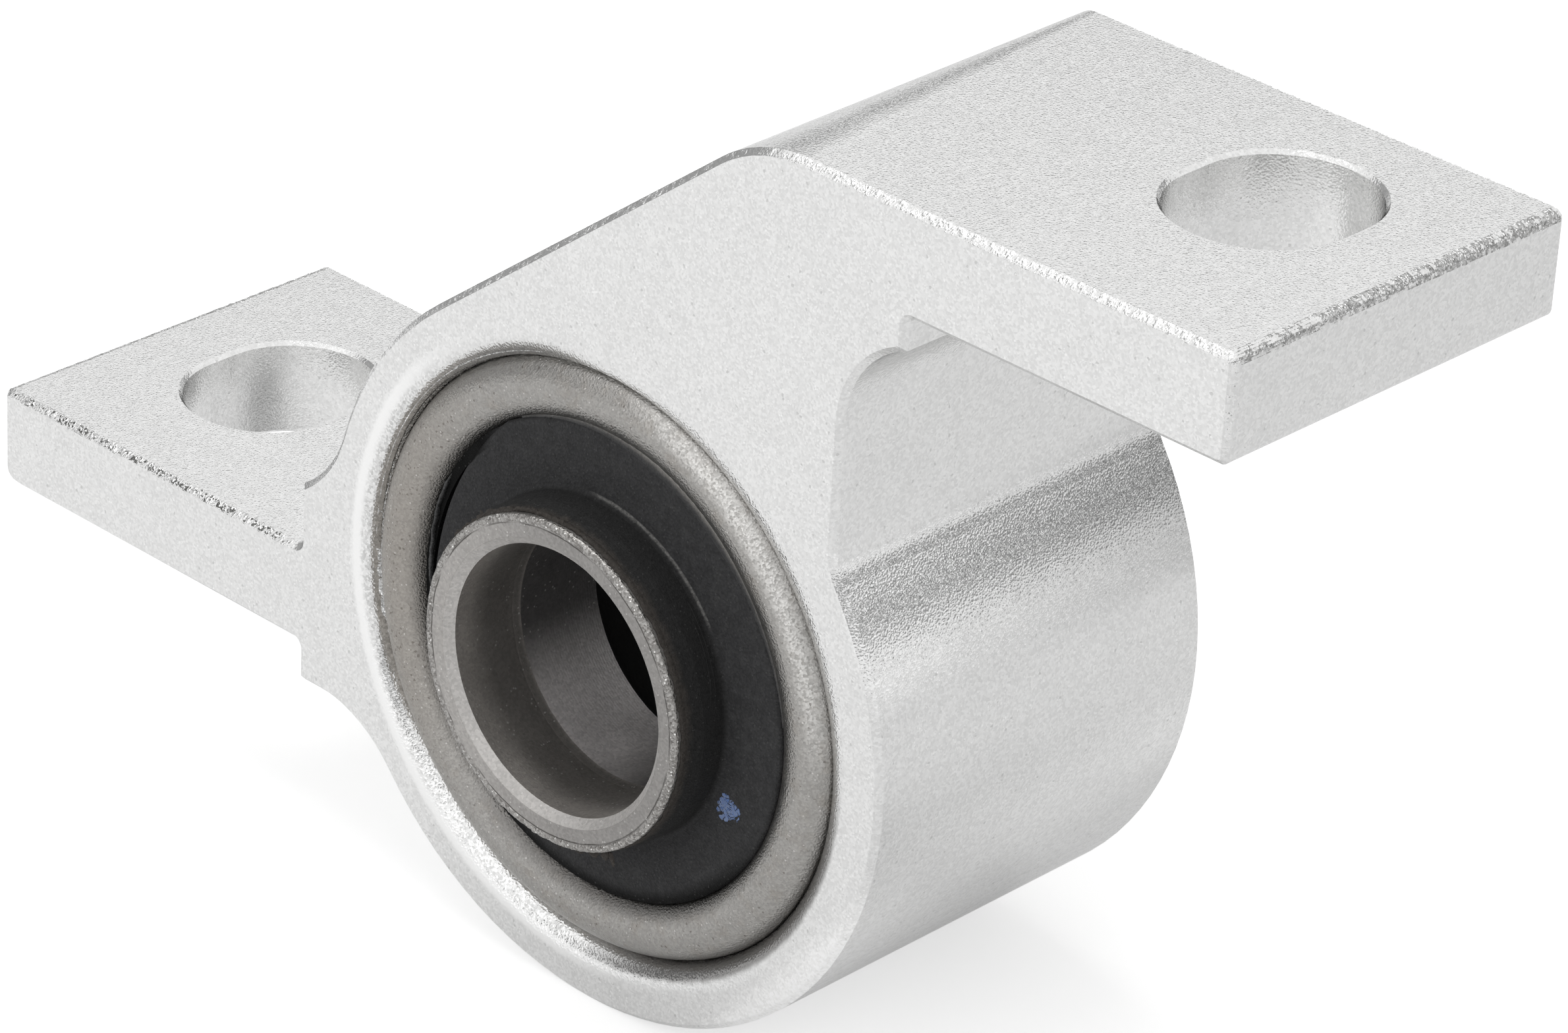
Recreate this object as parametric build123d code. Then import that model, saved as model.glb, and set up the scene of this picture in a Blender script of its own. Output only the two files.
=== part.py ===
"""Rubber-metal bush in a two-eared aluminium bracket.

Axes: Y runs along the bore towards the back, X runs along the ears with the high ear on +X,
and Z is up. The pieces are drawn with the bracket's front face at y = 0, so a depth below is
measured from that face, and are moved at the end to put the origin at the bore's middle.
All sizes are in millimetres. Every round piece is a section turned about the Y axis.
"""
import os
from math import acos, asin, atan2, cos, degrees, hypot, radians, sin, sqrt, tan

from build123d import *

# bracket block
BLOCK_DEPTH = 40.0            # front face to back face
BARREL_R = 33.0               # outside of the barrel
BARREL_WALL = 5.8             # from there to the sleeve's seat
MOUTH_SHARE = 0.475           # share of that wall taken by the seat's rounded lead-in
MOUTH_OFF = 0.8               # the lead-in was turned off centre by this much,
MOUTH_SIDE_DEG = 265          # towards this side, where it is wide; opposite it is narrow
MOUTH_CLEAR = 0.02            # its tool stays inside the seat by this much
EDGE_BEVEL = 0.55             # rough bevel round the front and back outlines
HIGH_TOP = 54.4               # top face of the high ear
LOW_TOP = -4.0                # top face of the low ear
EAR_THICK = 9.5
EAR_PAST_SLOT = 16.15         # slot's middle to the ear's end face
SLANT_DEG = 38.5              # slope of the web's upper face
HUMP_FRONT_R = 15.0           # round between the sloping face and the high ear's top,
HUMP_BACK_R = 2.5             # which runs down to a near corner at the back
WEB_INSET = 6.8               # upright web face under the high ear, inside the barrel's side
WEB_ROOT_R = 9.3              # hollow between that face and the ear
WEB_FOOT_R = 6.0              # hollow between that face and the barrel
HIGH_STEP_OUT = 6.1           # small upright step at the root of the high ear, beyond the web
HIGH_STEP_DROP = 3.0          # its height below the ear's underside
LOW_STEP_OUT = 3.7            # upright steps of the low ear, beyond the barrel's side
LOW_TOP_STEP_RISE = 6.2       # height of the step above the low ear
LOW_UNDER_STEP_DROP = 3.8     # height of the step under it
LOW_ROOT_R = 12.0             # hollows between the low ear's steps and the barrel
STEP_ROOT_R = 0.7             # inside corners of the steps
STEP_TIP_R = 0.6              # outside corners of the steps
HIGH_TIP_R = 0.9              # outside corners of the high ear
LOW_TIP_TOP_R = 0.9           # outside corners of the low ear
LOW_TIP_UNDER_R = 1.7

# mounting slots, long way along Y
SLOT_WIDE = 15.8
SLOT_LONG = 18.8
SLOT_EDGE = 0.35              # broken edge at both mouths
HIGH_SLOT_X = 49.2
HIGH_SLOT_BACK = 3.4          # slot's middle behind the block's middle
LOW_SLOT_X = -60.6
LOW_SLOT_BACK = -0.5

# outer steel sleeve, pressed into the barrel
PRESS_GAP = 0.0               # the sleeve fills the barrel's bore
SLEEVE_WALL = 2.0
LIP_PROUD = 0.7               # crown of the rolled lip in front of the bracket's face
LIP_OUTER_R = 2.9             # roll on the outer side of the crown
LIP_REACH = 5.8               # how far the lip reaches in from the sleeve's outside
LIP_TIP_DEPTH = 1.1           # depth of that edge behind the bracket's face

# inner steel sleeve
INNER_BORE_R = 12.0           # turned lands that guide the pin
INNER_WALL = 3.0              # from the lands to the sleeve's outside
INNER_PROUD = 5.3             # stands in front of the bracket's face
INNER_BORE_CHAMFER = 0.8
INNER_RIM_CHAMFER = 0.3
MOUTH_BORE_LONG = 7.5         # smooth length at each end of the bore
MOUTH_TAPER = 0.8             # from there the bore narrows to the land
MOUTH_STEP = 0.2              # it is this much larger in radius than the land
LAND_LONG = 9.0
RELIEF_STEP = 0.8             # the middle of the bore is cut this much larger in radius

# rubber
NECK_WALL = 0.5               # rubber skin round the inner sleeve
NECK_TIP_WALL = 0.12          # it thins to this at its end
NECK_TAPER = 2.0              # length of the thinning part
NECK_SHORT_OF_END = 0.8       # bare steel left between the neck and the sleeve's face
NECK_ROOT_R = 0.45
FACE_DEPTH = 0.15             # rubber face behind the bracket's face
CREASE_R = 0.45               # rounded edge of the ring face, where it dips beside the lip
TEAR_SIDE_DEG = 170           # on this side, at the front, the rubber has torn off the lip
TEAR_SPREAD_DEG = 45          # the tear runs out this far to both sides
TEAR_REACH = 2.3              # from the lip to the ring face's edge, where it is widest
TEAR_DEPTH = 1.8
TEAR_EDGE_R = 0.5
STRIP_WALL = 0.8              # strip of rubber left on the lip's free edge in the tear
STRIP_DEPTH = 0.9

HIGH_UNDER = HIGH_TOP - EAR_THICK
LOW_UNDER = LOW_TOP - EAR_THICK
HIGH_END = HIGH_SLOT_X + EAR_PAST_SLOT
LOW_END = LOW_SLOT_X - EAR_PAST_SLOT
WEB_SIDE = BARREL_R - WEB_INSET
HIGH_STEP_X = WEB_SIDE + HIGH_STEP_OUT
LOW_STEP_X = -BARREL_R - LOW_STEP_OUT
MIDDLE = BLOCK_DEPTH / 2
INNER_R = INNER_BORE_R + INNER_WALL
SEAT_R = BARREL_R - BARREL_WALL
MOUTH_R = BARREL_WALL * MOUTH_SHARE
SLEEVE_R = SEAT_R - PRESS_GAP
LIP_TIP_R = SLEEVE_R - LIP_REACH
STRIP_R = LIP_TIP_R - STRIP_WALL


def polar(radius, degrees_from_x, centre=(0.0, 0.0)):
    """Point on a circle in the outline's plane."""
    a = radians(degrees_from_x)
    return (centre[0] + radius * cos(a), centre[1] + radius * sin(a))


def arc(centre, radius, start, end):
    """Circular arc through two angles, turning the short way between them."""
    return ThreePointArc(
        polar(radius, start, centre),
        polar(radius, (start + end) / 2, centre),
        polar(radius, end, centre),
    )


def angle_of(point, centre=(0.0, 0.0)):
    return degrees(atan2(point[1] - centre[1], point[0] - centre[0])) % 360


def hump_corner():
    """Where the sloping face would meet the high ear's top face without a round."""
    slope = radians(SLANT_DEG)
    return ((HIGH_TOP - BARREL_R / cos(slope)) / tan(slope), HIGH_TOP)


def hump_waste(radius):
    """What a round of this radius takes off that corner, as a flat shape."""
    reach = radius * tan(radians(SLANT_DEG) / 2)
    corner = hump_corner()
    centre = (corner[0] + reach, HIGH_TOP - radius)
    with BuildSketch() as waste:
        with BuildLine():
            Line(corner, polar(radius, 90, centre))
            arc(centre, radius, 90, 90 + SLANT_DEG)
            Line(polar(radius, 90 + SLANT_DEG, centre), corner)
        make_face()
    return waste.sketch


def bracket_outline():
    """Closed outline of the bracket seen from the front, walked anticlockwise."""
    # hollow above the low ear: touches the barrel, ends on the upright step
    step_top = (LOW_STEP_X, LOW_TOP + LOW_TOP_STEP_RISE)
    reach = BARREL_R + LOW_ROOT_R
    away = hypot(*step_top)
    spread = (reach**2 + away**2 - LOW_ROOT_R**2) / (2 * reach * away)
    above_angle = angle_of(step_top) - degrees(acos(spread))
    above_centre = polar(reach, above_angle)

    # hollow under the low ear: touches the barrel and the level ledge
    ledge = LOW_UNDER - LOW_UNDER_STEP_DROP
    under_z = ledge - LOW_ROOT_R
    under_centre = (-sqrt(reach**2 - under_z**2), under_z)

    # hollow between the upright web face and the barrel
    foot_reach = BARREL_R + WEB_FOOT_R
    foot_x = WEB_SIDE + WEB_FOOT_R
    foot_centre = (foot_x, sqrt(foot_reach**2 - foot_x**2))

    # hollow under the high ear: touches the web face, ends on the upright step
    step_foot = (HIGH_STEP_X, HIGH_UNDER - HIGH_STEP_DROP)
    root_x = WEB_SIDE + WEB_ROOT_R
    root_centre = (root_x, step_foot[1] - sqrt(WEB_ROOT_R**2 - (root_x - HIGH_STEP_X) ** 2))

    with BuildLine() as outline:
        # high ear, from its root step round to the hump
        Line(step_foot, (HIGH_STEP_X, HIGH_UNDER))
        Line((HIGH_STEP_X, HIGH_UNDER), (HIGH_END, HIGH_UNDER))
        Line((HIGH_END, HIGH_UNDER), (HIGH_END, HIGH_TOP))
        Line((HIGH_END, HIGH_TOP), hump_corner())
        Line(hump_corner(), polar(BARREL_R, 90 + SLANT_DEG))
        # barrel's upper left and the low ear
        arc((0, 0), BARREL_R, 90 + SLANT_DEG, above_angle)
        arc(above_centre, LOW_ROOT_R, above_angle - 180, angle_of(step_top, above_centre) - 360)
        Line(step_top, (LOW_STEP_X, LOW_TOP))
        Line((LOW_STEP_X, LOW_TOP), (LOW_END, LOW_TOP))
        Line((LOW_END, LOW_TOP), (LOW_END, LOW_UNDER))
        Line((LOW_END, LOW_UNDER), (LOW_STEP_X, LOW_UNDER))
        Line((LOW_STEP_X, LOW_UNDER), (LOW_STEP_X, ledge))
        Line((LOW_STEP_X, ledge), polar(LOW_ROOT_R, 90, under_centre))
        # barrel's underside, round to the web
        arc(under_centre, LOW_ROOT_R, 90, angle_of(under_centre) - 180)
        arc((0, 0), BARREL_R, angle_of(under_centre), 360 + angle_of(foot_centre))
        arc(foot_centre, WEB_FOOT_R, 180 + angle_of(foot_centre), 180)
        Line(polar(WEB_FOOT_R, 180, foot_centre), polar(WEB_ROOT_R, 180, root_centre))
        arc(root_centre, WEB_ROOT_R, 180, angle_of(step_foot, root_centre))
    return outline


def turned(section_curves):
    """Piece turned about Y: the front half of its section, and the same half at the back."""
    with BuildPart() as body:
        with BuildSketch(Plane.XY):
            with BuildLine():
                for curve in section_curves:
                    add(curve)
            make_face()
        revolve(axis=Axis.Y)
        mirror(about=Plane.XZ.offset(-MIDDLE))
    return body.part


def path(*points):
    """Straight runs through points given as (radius, y)."""
    return [Line(a, b) for a, b in zip(points, points[1:])]


def mouth_tool():
    """Round form that cuts the seat's rounded lead-in at both ends, about its own axis."""
    rim_r = SEAT_R + MOUTH_R - MOUTH_OFF - MOUTH_CLEAR
    ahead = -INNER_PROUD
    return turned([
        *path((0, MIDDLE), (0, ahead), (rim_r, ahead), (rim_r, 0)),
        arc((rim_r, MOUTH_R), MOUTH_R, -90, -180),
        *path((rim_r - MOUTH_R, MOUTH_R), (rim_r - MOUTH_R, MIDDLE), (0, MIDDLE)),
    ])


def make_bracket():
    corners = {
        (HIGH_STEP_X, HIGH_UNDER): STEP_ROOT_R,
        (HIGH_END, HIGH_UNDER): HIGH_TIP_R,
        (HIGH_END, HIGH_TOP): HIGH_TIP_R,
        (LOW_STEP_X, LOW_TOP): STEP_ROOT_R,
        (LOW_END, LOW_TOP): LOW_TIP_TOP_R,
        (LOW_END, LOW_UNDER): LOW_TIP_UNDER_R,
        (LOW_STEP_X, LOW_UNDER): STEP_ROOT_R,
        (LOW_STEP_X, LOW_UNDER - LOW_UNDER_STEP_DROP): STEP_TIP_R,
    }
    outline = bracket_outline()
    with BuildSketch() as section:
        add(outline.line)
        make_face()
        for (x, z), radius in corners.items():
            corner = section.vertices().sort_by_distance((x, z, 0))[0]
            fillet(corner, radius)
    with BuildPart() as block:
        with BuildSketch(Plane.XZ):
            add(section.sketch)
        extrude(amount=-BLOCK_DEPTH)

        # tapering round of the hump
        for depth, radius in ((0.0, HUMP_FRONT_R), (BLOCK_DEPTH, HUMP_BACK_R)):
            with BuildSketch(Plane.XZ.offset(-depth)):
                add(hump_waste(radius))
        loft(ruled=True, mode=Mode.SUBTRACT)
        rims = block.faces().sort_by(Axis.Y)
        chamfer(rims[0].outer_wire().edges() + rims[-1].outer_wire().edges(), EDGE_BEVEL)

        # bore, and a rounded lead-in at both ends
        with BuildSketch(Plane.XZ):
            Circle(SEAT_R)
        extrude(amount=-BLOCK_DEPTH, mode=Mode.SUBTRACT)
        x, z = polar(MOUTH_OFF, MOUTH_SIDE_DEG)
        with Locations((x, 0, z)):
            add(mouth_tool(), mode=Mode.SUBTRACT)

        # one slot through each ear
        for x, y, top, under in (
            (HIGH_SLOT_X, MIDDLE + HIGH_SLOT_BACK, HIGH_TOP, HIGH_UNDER),
            (LOW_SLOT_X, MIDDLE + LOW_SLOT_BACK, LOW_TOP, LOW_UNDER),
        ):
            with BuildSketch(Plane.XY.offset(under)):
                with Locations((x, y)):
                    SlotOverall(SLOT_LONG, SLOT_WIDE, rotation=90)
            extrude(amount=EAR_THICK, mode=Mode.SUBTRACT)
            rim = block.edges().filter_by(
                lambda e: min(abs(e.center().Z - top), abs(e.center().Z - under)) < 1e-6
                and hypot(e.center().X - x, e.center().Y - y) < SLOT_LONG * 0.6
            )
            chamfer(rim, SLOT_EDGE)
    return block.part


def lip_roll():
    """Centre and radius of the lip's inner roll, from its crown to its free edge."""
    crown_r = SLEEVE_R - LIP_OUTER_R
    run, drop = crown_r - LIP_TIP_R, LIP_TIP_DEPTH + LIP_PROUD
    radius = (run**2 + drop**2) / (2 * drop)
    return (crown_r, radius - LIP_PROUD), radius


def lip_angle(depth):
    """Angle on the inner roll at which the lip's surface is this deep."""
    centre, radius = lip_roll()
    return degrees(asin((centre[1] - depth) / radius)) - 180


def lip_curves(inset):
    """Lip section from the sleeve's straight wall to its free edge, inset from the outside."""
    centre, radius = lip_roll()
    outer_centre = (centre[0], LIP_OUTER_R - LIP_PROUD)
    return (
        arc(outer_centre, LIP_OUTER_R - inset, 0, -90),
        arc(centre, radius - inset, -90, lip_angle(LIP_TIP_DEPTH)),
    )


def make_outer_sleeve():
    outside, inside = lip_curves(0.0), lip_curves(SLEEVE_WALL)
    return turned([
        Line((SLEEVE_R, MIDDLE), outside[0] @ 0),
        *outside,
        Line(outside[1] @ 1, inside[1] @ 1),
        *inside,
        Line(inside[0] @ 0, (SLEEVE_R - SLEEVE_WALL, MIDDLE)),
        Line((SLEEVE_R - SLEEVE_WALL, MIDDLE), (SLEEVE_R, MIDDLE)),
    ])


def make_inner_sleeve():
    mouth_r = INNER_BORE_R + MOUTH_STEP
    relief_r = INNER_BORE_R + RELIEF_STEP
    front = -INNER_PROUD
    mouth_end = front + MOUTH_BORE_LONG
    land_start = mouth_end + MOUTH_TAPER
    land_end = land_start + LAND_LONG
    return turned(path(
        (INNER_R, MIDDLE),
        (INNER_R, front + INNER_RIM_CHAMFER),
        (INNER_R - INNER_RIM_CHAMFER, front),
        (mouth_r + INNER_BORE_CHAMFER, front),
        (mouth_r, front + INNER_BORE_CHAMFER),
        (mouth_r, mouth_end),
        (INNER_BORE_R, land_start),
        (INNER_BORE_R, land_end),
        (relief_r, land_end),
        (relief_r, MIDDLE),
        (INNER_R, MIDDLE),
    ))


def torn_gap():
    """Room that the tear leaves between the ring face and the strip on the lip.

    The ring face's new edge is an arc of a larger circle, moved away from the torn side, so the
    gap is a crescent.
    """
    lip_r = polar(lip_roll()[1], lip_angle(FACE_DEPTH), lip_roll()[0])[0]
    shift = TEAR_REACH / (1 - cos(radians(TEAR_SPREAD_DEG)))
    edge_r = lip_r - TEAR_REACH + shift
    ahead, behind = -INNER_PROUD, TEAR_DEPTH + CREASE_R
    with BuildPart() as gap:
        with BuildSketch(Plane.XY):
            with BuildLine():
                Polyline(
                    (lip_r - 2 * TEAR_REACH, ahead),
                    (lip_r - 2 * TEAR_REACH, TEAR_DEPTH),
                    (STRIP_R, TEAR_DEPTH),
                    (STRIP_R, STRIP_DEPTH),
                    (SLEEVE_R, STRIP_DEPTH),
                    (SLEEVE_R, ahead),
                    close=True,
                )
            make_face()
        revolve(axis=Axis.Y)
    with BuildPart() as kept:
        with BuildSketch(Plane.XY):
            with BuildLine():
                rounding = (edge_r - TEAR_EDGE_R, FACE_DEPTH + TEAR_EDGE_R)
                for line in path((0, behind), (0, ahead), (rounding[0], ahead), (rounding[0], FACE_DEPTH)):
                    add(line)
                add(arc(rounding, TEAR_EDGE_R, -90, 0))
                for line in path((edge_r, rounding[1]), (edge_r, behind), (0, behind)):
                    add(line)
            make_face()
        revolve(axis=Axis.Y)
    x, z = polar(-shift, TEAR_SIDE_DEG)
    return gap.part - Pos(x, 0, z) * kept.part


def make_rubber():
    """Rubber between the two sleeves: neck, ring face, crease beside the lip and the tear."""
    inside = lip_curves(SLEEVE_WALL)
    roll_centre, roll_r = lip_roll()
    edge_angle = lip_angle(FACE_DEPTH + CREASE_R)
    edge = polar(roll_r, edge_angle, roll_centre)
    free_angle = lip_angle(LIP_TIP_DEPTH)
    neck_r = INNER_R + NECK_WALL
    neck_end = NECK_SHORT_OF_END - INNER_PROUD
    root = (neck_r + NECK_ROOT_R, FACE_DEPTH - NECK_ROOT_R)
    whole = turned([
        *path(
            (INNER_R, MIDDLE),
            (INNER_R, neck_end),
            (INNER_R + NECK_TIP_WALL, neck_end),
            (neck_r, neck_end + NECK_TAPER),
            (neck_r, root[1]),
        ),
        arc(root, NECK_ROOT_R, 180, 90),
        Line((root[0], FACE_DEPTH), (edge[0] - CREASE_R, FACE_DEPTH)),
        arc((edge[0] - CREASE_R, edge[1]), CREASE_R, -90, 0),
        arc(roll_centre, roll_r, edge_angle, free_angle),
        Line(polar(roll_r, free_angle, roll_centre), inside[1] @ 1),
        *inside,
        Line(inside[0] @ 0, (SLEEVE_R - SLEEVE_WALL, MIDDLE)),
        Line((SLEEVE_R - SLEEVE_WALL, MIDDLE), (INNER_R, MIDDLE)),
    ])
    return whole - torn_gap()


pieces = {
    "bracket": make_bracket(),
    "outer_sleeve": make_outer_sleeve(),
    "rubber": make_rubber(),
    "inner_sleeve": make_inner_sleeve(),
}
os.makedirs("parts", exist_ok=True)
for node, shape in pieces.items():
    shape = Pos(0, -MIDDLE, 0) * shape
    export_step(shape, "parts/" + node + ".step")
    box = shape.bounding_box()
    print(node, round(shape.volume), "mm3", [round(v, 2) for v in (*box.min, *box.max)])
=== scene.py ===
# %% [markdown]
# # A rubber-metal bush in its bracket
# The object has four parts: a shot-blasted aluminium bracket with two slotted ears, a steel
# sleeve pressed into its barrel, a ring of black rubber, and a thick inner sleeve for the pin.
# Their shapes come finished from CAD as a fixed frame, so this script is about their surfaces:
# the studio, one finish for each part, and the small rough edges that sawing, blasting and
# moulding leave behind. Blender works in metres here, in the same axes as the CAD: Y runs
# along the bore towards the back, X along the ears, and Z is up.

# %% Load the CAD frame
import math

import bmesh
import bpy
import numpy as np
from mathutils import Matrix, Vector, noise


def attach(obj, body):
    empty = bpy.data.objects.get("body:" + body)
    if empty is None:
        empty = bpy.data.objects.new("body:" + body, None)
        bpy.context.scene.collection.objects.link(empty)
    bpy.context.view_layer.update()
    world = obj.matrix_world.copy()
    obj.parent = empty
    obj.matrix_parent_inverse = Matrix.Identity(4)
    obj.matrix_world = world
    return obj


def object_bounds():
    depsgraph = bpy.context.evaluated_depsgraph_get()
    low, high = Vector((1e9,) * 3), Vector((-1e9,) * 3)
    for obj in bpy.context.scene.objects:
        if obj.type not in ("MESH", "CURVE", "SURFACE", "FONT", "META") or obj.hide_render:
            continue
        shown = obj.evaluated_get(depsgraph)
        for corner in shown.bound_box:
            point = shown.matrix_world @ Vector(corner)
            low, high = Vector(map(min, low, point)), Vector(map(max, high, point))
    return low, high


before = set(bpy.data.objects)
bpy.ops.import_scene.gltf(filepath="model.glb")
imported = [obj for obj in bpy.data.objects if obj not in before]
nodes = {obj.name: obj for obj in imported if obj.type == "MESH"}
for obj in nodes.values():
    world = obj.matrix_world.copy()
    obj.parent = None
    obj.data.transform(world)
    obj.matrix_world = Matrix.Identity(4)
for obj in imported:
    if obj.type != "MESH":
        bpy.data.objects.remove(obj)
cad_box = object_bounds()
scene = bpy.context.scene
MM = 0.001
print("nodes:", sorted(nodes))

# %% [markdown]
# ## The camera
# A small object photographed from half a metre away needs a long lens, or its near ear would
# look too large. The camera could be aimed with a Track To constraint, but that has no roll,
# and a hand-held picture leans a little. So its three axes are built from an azimuth, an
# elevation and a roll, and written into the camera's matrix.

# %% Camera
LENS_MM = 154.088
SENSOR_MM = 36.0
CAMERA_PLACE = Vector((0.343561, -0.372062, 0.278545))
CAMERA_AZIMUTH = 42.5222      # degrees from the front (-Y) towards +X
CAMERA_ELEVATION = 28.1814
CAMERA_ROLL = 3.3241

az, el = math.radians(CAMERA_AZIMUTH), math.radians(CAMERA_ELEVATION)
back = Vector((math.cos(el) * math.sin(az), -math.cos(el) * math.cos(az), math.sin(el)))
level_right = Vector((0, 0, 1)).cross(back).normalized()
level_up = back.cross(level_right)
roll = math.radians(CAMERA_ROLL)
right = level_right * math.cos(roll) + level_up * math.sin(roll)
up = back.cross(right)

camera_data = bpy.data.cameras.new("camera")
camera_data.lens = LENS_MM
camera_data.sensor_width = SENSOR_MM
camera_data.clip_start = 0.01
camera = bpy.data.objects.new("camera", camera_data)
turned_to = Matrix((right, up, back)).transposed().to_4x4()
camera.matrix_world = Matrix.Translation(CAMERA_PLACE) @ turned_to
scene.collection.objects.link(camera)
scene.camera = camera
print("camera looks along", tuple(round(v, 4) for v in -back))

# %% [markdown]
# ## The studio
# Blasted metal shows the room more than its own colour. The dark soft bands on the real
# barrel and on the hump are the dim part of a studio between a white table and a bright
# ceiling, so that is what is built: a white floor, a white world, and a dark band of card all
# round at the height of the horizon. First come the helpers that every step uses.

# %% Helpers for meshes and materials
def mesh_object(name, verts, faces, smooth=False):
    """Object from plain lists of points and faces."""
    mesh = bpy.data.meshes.new(name)
    mesh.from_pydata([tuple(v) for v in verts], [], faces)
    mesh.polygons.foreach_set("use_smooth", [smooth] * len(mesh.polygons))
    mesh.update()
    piece = bpy.data.objects.new(name, mesh)
    scene.collection.objects.link(piece)
    return piece


def new_material(name):
    """Node material with a Principled BSDF already wired to its output."""
    material = bpy.data.materials.new(name)
    material.use_nodes = True
    tree = material.node_tree
    return material, tree, next(n for n in tree.nodes if n.type == "BSDF_PRINCIPLED")


def node(tree, kind, **settings):
    """New shader node with plain attributes set on it."""
    made = tree.nodes.new("ShaderNode" + kind)
    for key, value in settings.items():
        setattr(made, key, value)
    return made


def feed(tree, socket, value):
    """Gives an input a plain value, or wires another node's output to it."""
    if isinstance(value, bpy.types.NodeSocket):
        tree.links.new(value, socket)
    else:
        socket.default_value = value


def math_node(tree, operation, *values):
    """Math node; each value is a socket or a plain number. Gives the result socket."""
    made = node(tree, "Math", operation=operation)
    for slot, value in enumerate(values):
        feed(tree, made.inputs[slot], value)
    return made.outputs[0]


def times(tree, first, *others):
    """Product of sockets and plain numbers, as a socket."""
    for other in others:
        first = math_node(tree, "MULTIPLY", first, other)
    return first


# %% [markdown]
# The floor is a sheet of white paper. It keeps the object's shadow, so its whiteness can't come
# from more light. Instead the paper glows a little, but only for rays from the camera and for
# rays that metal or rubber mirrors.

# %% Floor
SQUARE = ((-1, -1), (1, -1), (1, 1), (-1, 1))
FLOOR_HALF = 3.0
FLOOR_Z = cad_box[0][2]
FLOOR_COLOUR = (0.80, 0.80, 0.80, 1)
LIFT_SEEN = 0.50              # how far the paper is brightened where the camera sees it
LIFT_MIRRORED = 0.15          # the same where metal or rubber mirrors it


def ray_kinds(tree):
    """One for rays from the camera; one for rays off a mirror or through glass."""
    rays = node(tree, "LightPath").outputs
    mirrored = math_node(tree, "MAXIMUM", rays["Is Glossy Ray"], rays["Is Transmission Ray"])
    return rays["Is Camera Ray"], mirrored


floor_points = [(x * FLOOR_HALF, y * FLOOR_HALF, FLOOR_Z) for x, y in SQUARE]
floor = mesh_object("floor", floor_points, [(0, 1, 2, 3)])
paper, tree, shader = new_material("white_paper")
shader.inputs["Base Color"].default_value = FLOOR_COLOUR
shader.inputs["Roughness"].default_value = 0.9
shader.inputs["Specular IOR Level"].default_value = 0.1
shader.inputs["Emission Color"].default_value = (1, 1, 1, 1)
seen, mirrored = ray_kinds(tree)
lift = math_node(tree, "MULTIPLY_ADD", seen, LIFT_SEEN, times(tree, mirrored, LIFT_MIRRORED))
tree.links.new(lift, shader.inputs["Emission Strength"])
floor.data.materials.append(paper)
print("floor at", round(FLOOR_Z, 5))

# %% World
AMBIENT = 0.58                # what the white room gives as light
world = bpy.data.worlds.new("studio")
scene.world = world
world.use_nodes = True
tree = world.node_tree
background = next(n for n in tree.nodes if n.type == "BACKGROUND")
background.inputs["Color"].default_value = (1, 1, 1, 1)
looked_at = math_node(tree, "MAXIMUM", *ray_kinds(tree))
strength = math_node(tree, "MULTIPLY_ADD", looked_at, 1.0 - AMBIENT, AMBIENT)
tree.links.new(strength, background.inputs["Strength"])
print("world gives", AMBIENT, "as light, and looks white")

# %% [markdown]
# The dark band of card stands all round like a fence, and fades at its lower and upper edge, so
# that its mirror image in the barrel has soft borders.

# %% Dark card at the horizon
CARD_R = 2.6
CARD_FROM_DEG, CARD_TO_DEG = 7.5, 20.0
CARD_SIDES = 96
CARD_FADE = ((0.0, 0.8), (0.25, 0.02), (0.55, 0.02), (1.0, 0.85))    # share of height, grey
bearings = [2 * math.pi * i / CARD_SIDES for i in range(CARD_SIDES)]
heights = [CARD_R * math.tan(math.radians(a)) for a in (CARD_FROM_DEG, CARD_TO_DEG)]
card_points = [(CARD_R * math.cos(a), CARD_R * math.sin(a), z) for z in heights for a in bearings]
card_faces = []
for i in range(CARD_SIDES):
    beside = (i + 1) % CARD_SIDES
    card_faces.append((i, beside, CARD_SIDES + beside, CARD_SIDES + i))
card = mesh_object("dark_card", card_points, card_faces, smooth=True)
faded_card, tree, shader = new_material("faded_card")
shader.inputs["Roughness"].default_value = 1.0
parts = node(tree, "SeparateXYZ")
tree.links.new(node(tree, "TexCoord").outputs["Object"], parts.inputs[0])
fade = node(tree, "ValToRGB")
stops = fade.color_ramp.elements
for place, grey_level in CARD_FADE:
    stop = stops.new(place) if 0.0 < place < 1.0 else stops[int(place)]
    stop.color = (grey_level, grey_level, grey_level, 1)
above_foot = math_node(tree, "SUBTRACT", parts.outputs["Z"], heights[0])
height_share = math_node(tree, "DIVIDE", above_foot, heights[1] - heights[0])
tree.links.new(height_share, fade.inputs["Fac"])
tree.links.new(fade.outputs["Color"], shader.inputs["Base Color"])
card.data.materials.append(faded_card)
print("card from", round(heights[0], 3), "to", round(heights[1], 3), "m high")

# %% [markdown]
# Three more cards shape the reflections. A dim panel on the left keeps the left of the barrel's
# rounded mouth darker than its right. Grey cards on the table behind and to the right are painted
# shade, standing in for the shade on the table there, which keeps the ear's end, the barrel's far
# side and the round of the hump a little darker than the front. Cards that throw light or shadow
# would spoil the even floor, so they are seen only in reflections.

# %% Dim panel on the left, grey cards on the right and behind
PANEL_X, PANEL_TOP = -0.36, 0.28
PANEL_FROM_Y, PANEL_TO_Y = 0.14, -0.20
TABLE_SHADE_CARDS = ((0.05, 0.9, -0.25, 0.9), (-0.9, 0.04, 0.3, 0.9))       # from and to X, from and to Y


def plain_card(name, grey_level):
    """Matt card of one grey."""
    material, _, card_shader = new_material(name)
    card_shader.inputs["Base Color"].default_value = (grey_level, grey_level, grey_level, 1)
    card_shader.inputs["Roughness"].default_value = 1.0
    return material


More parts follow.
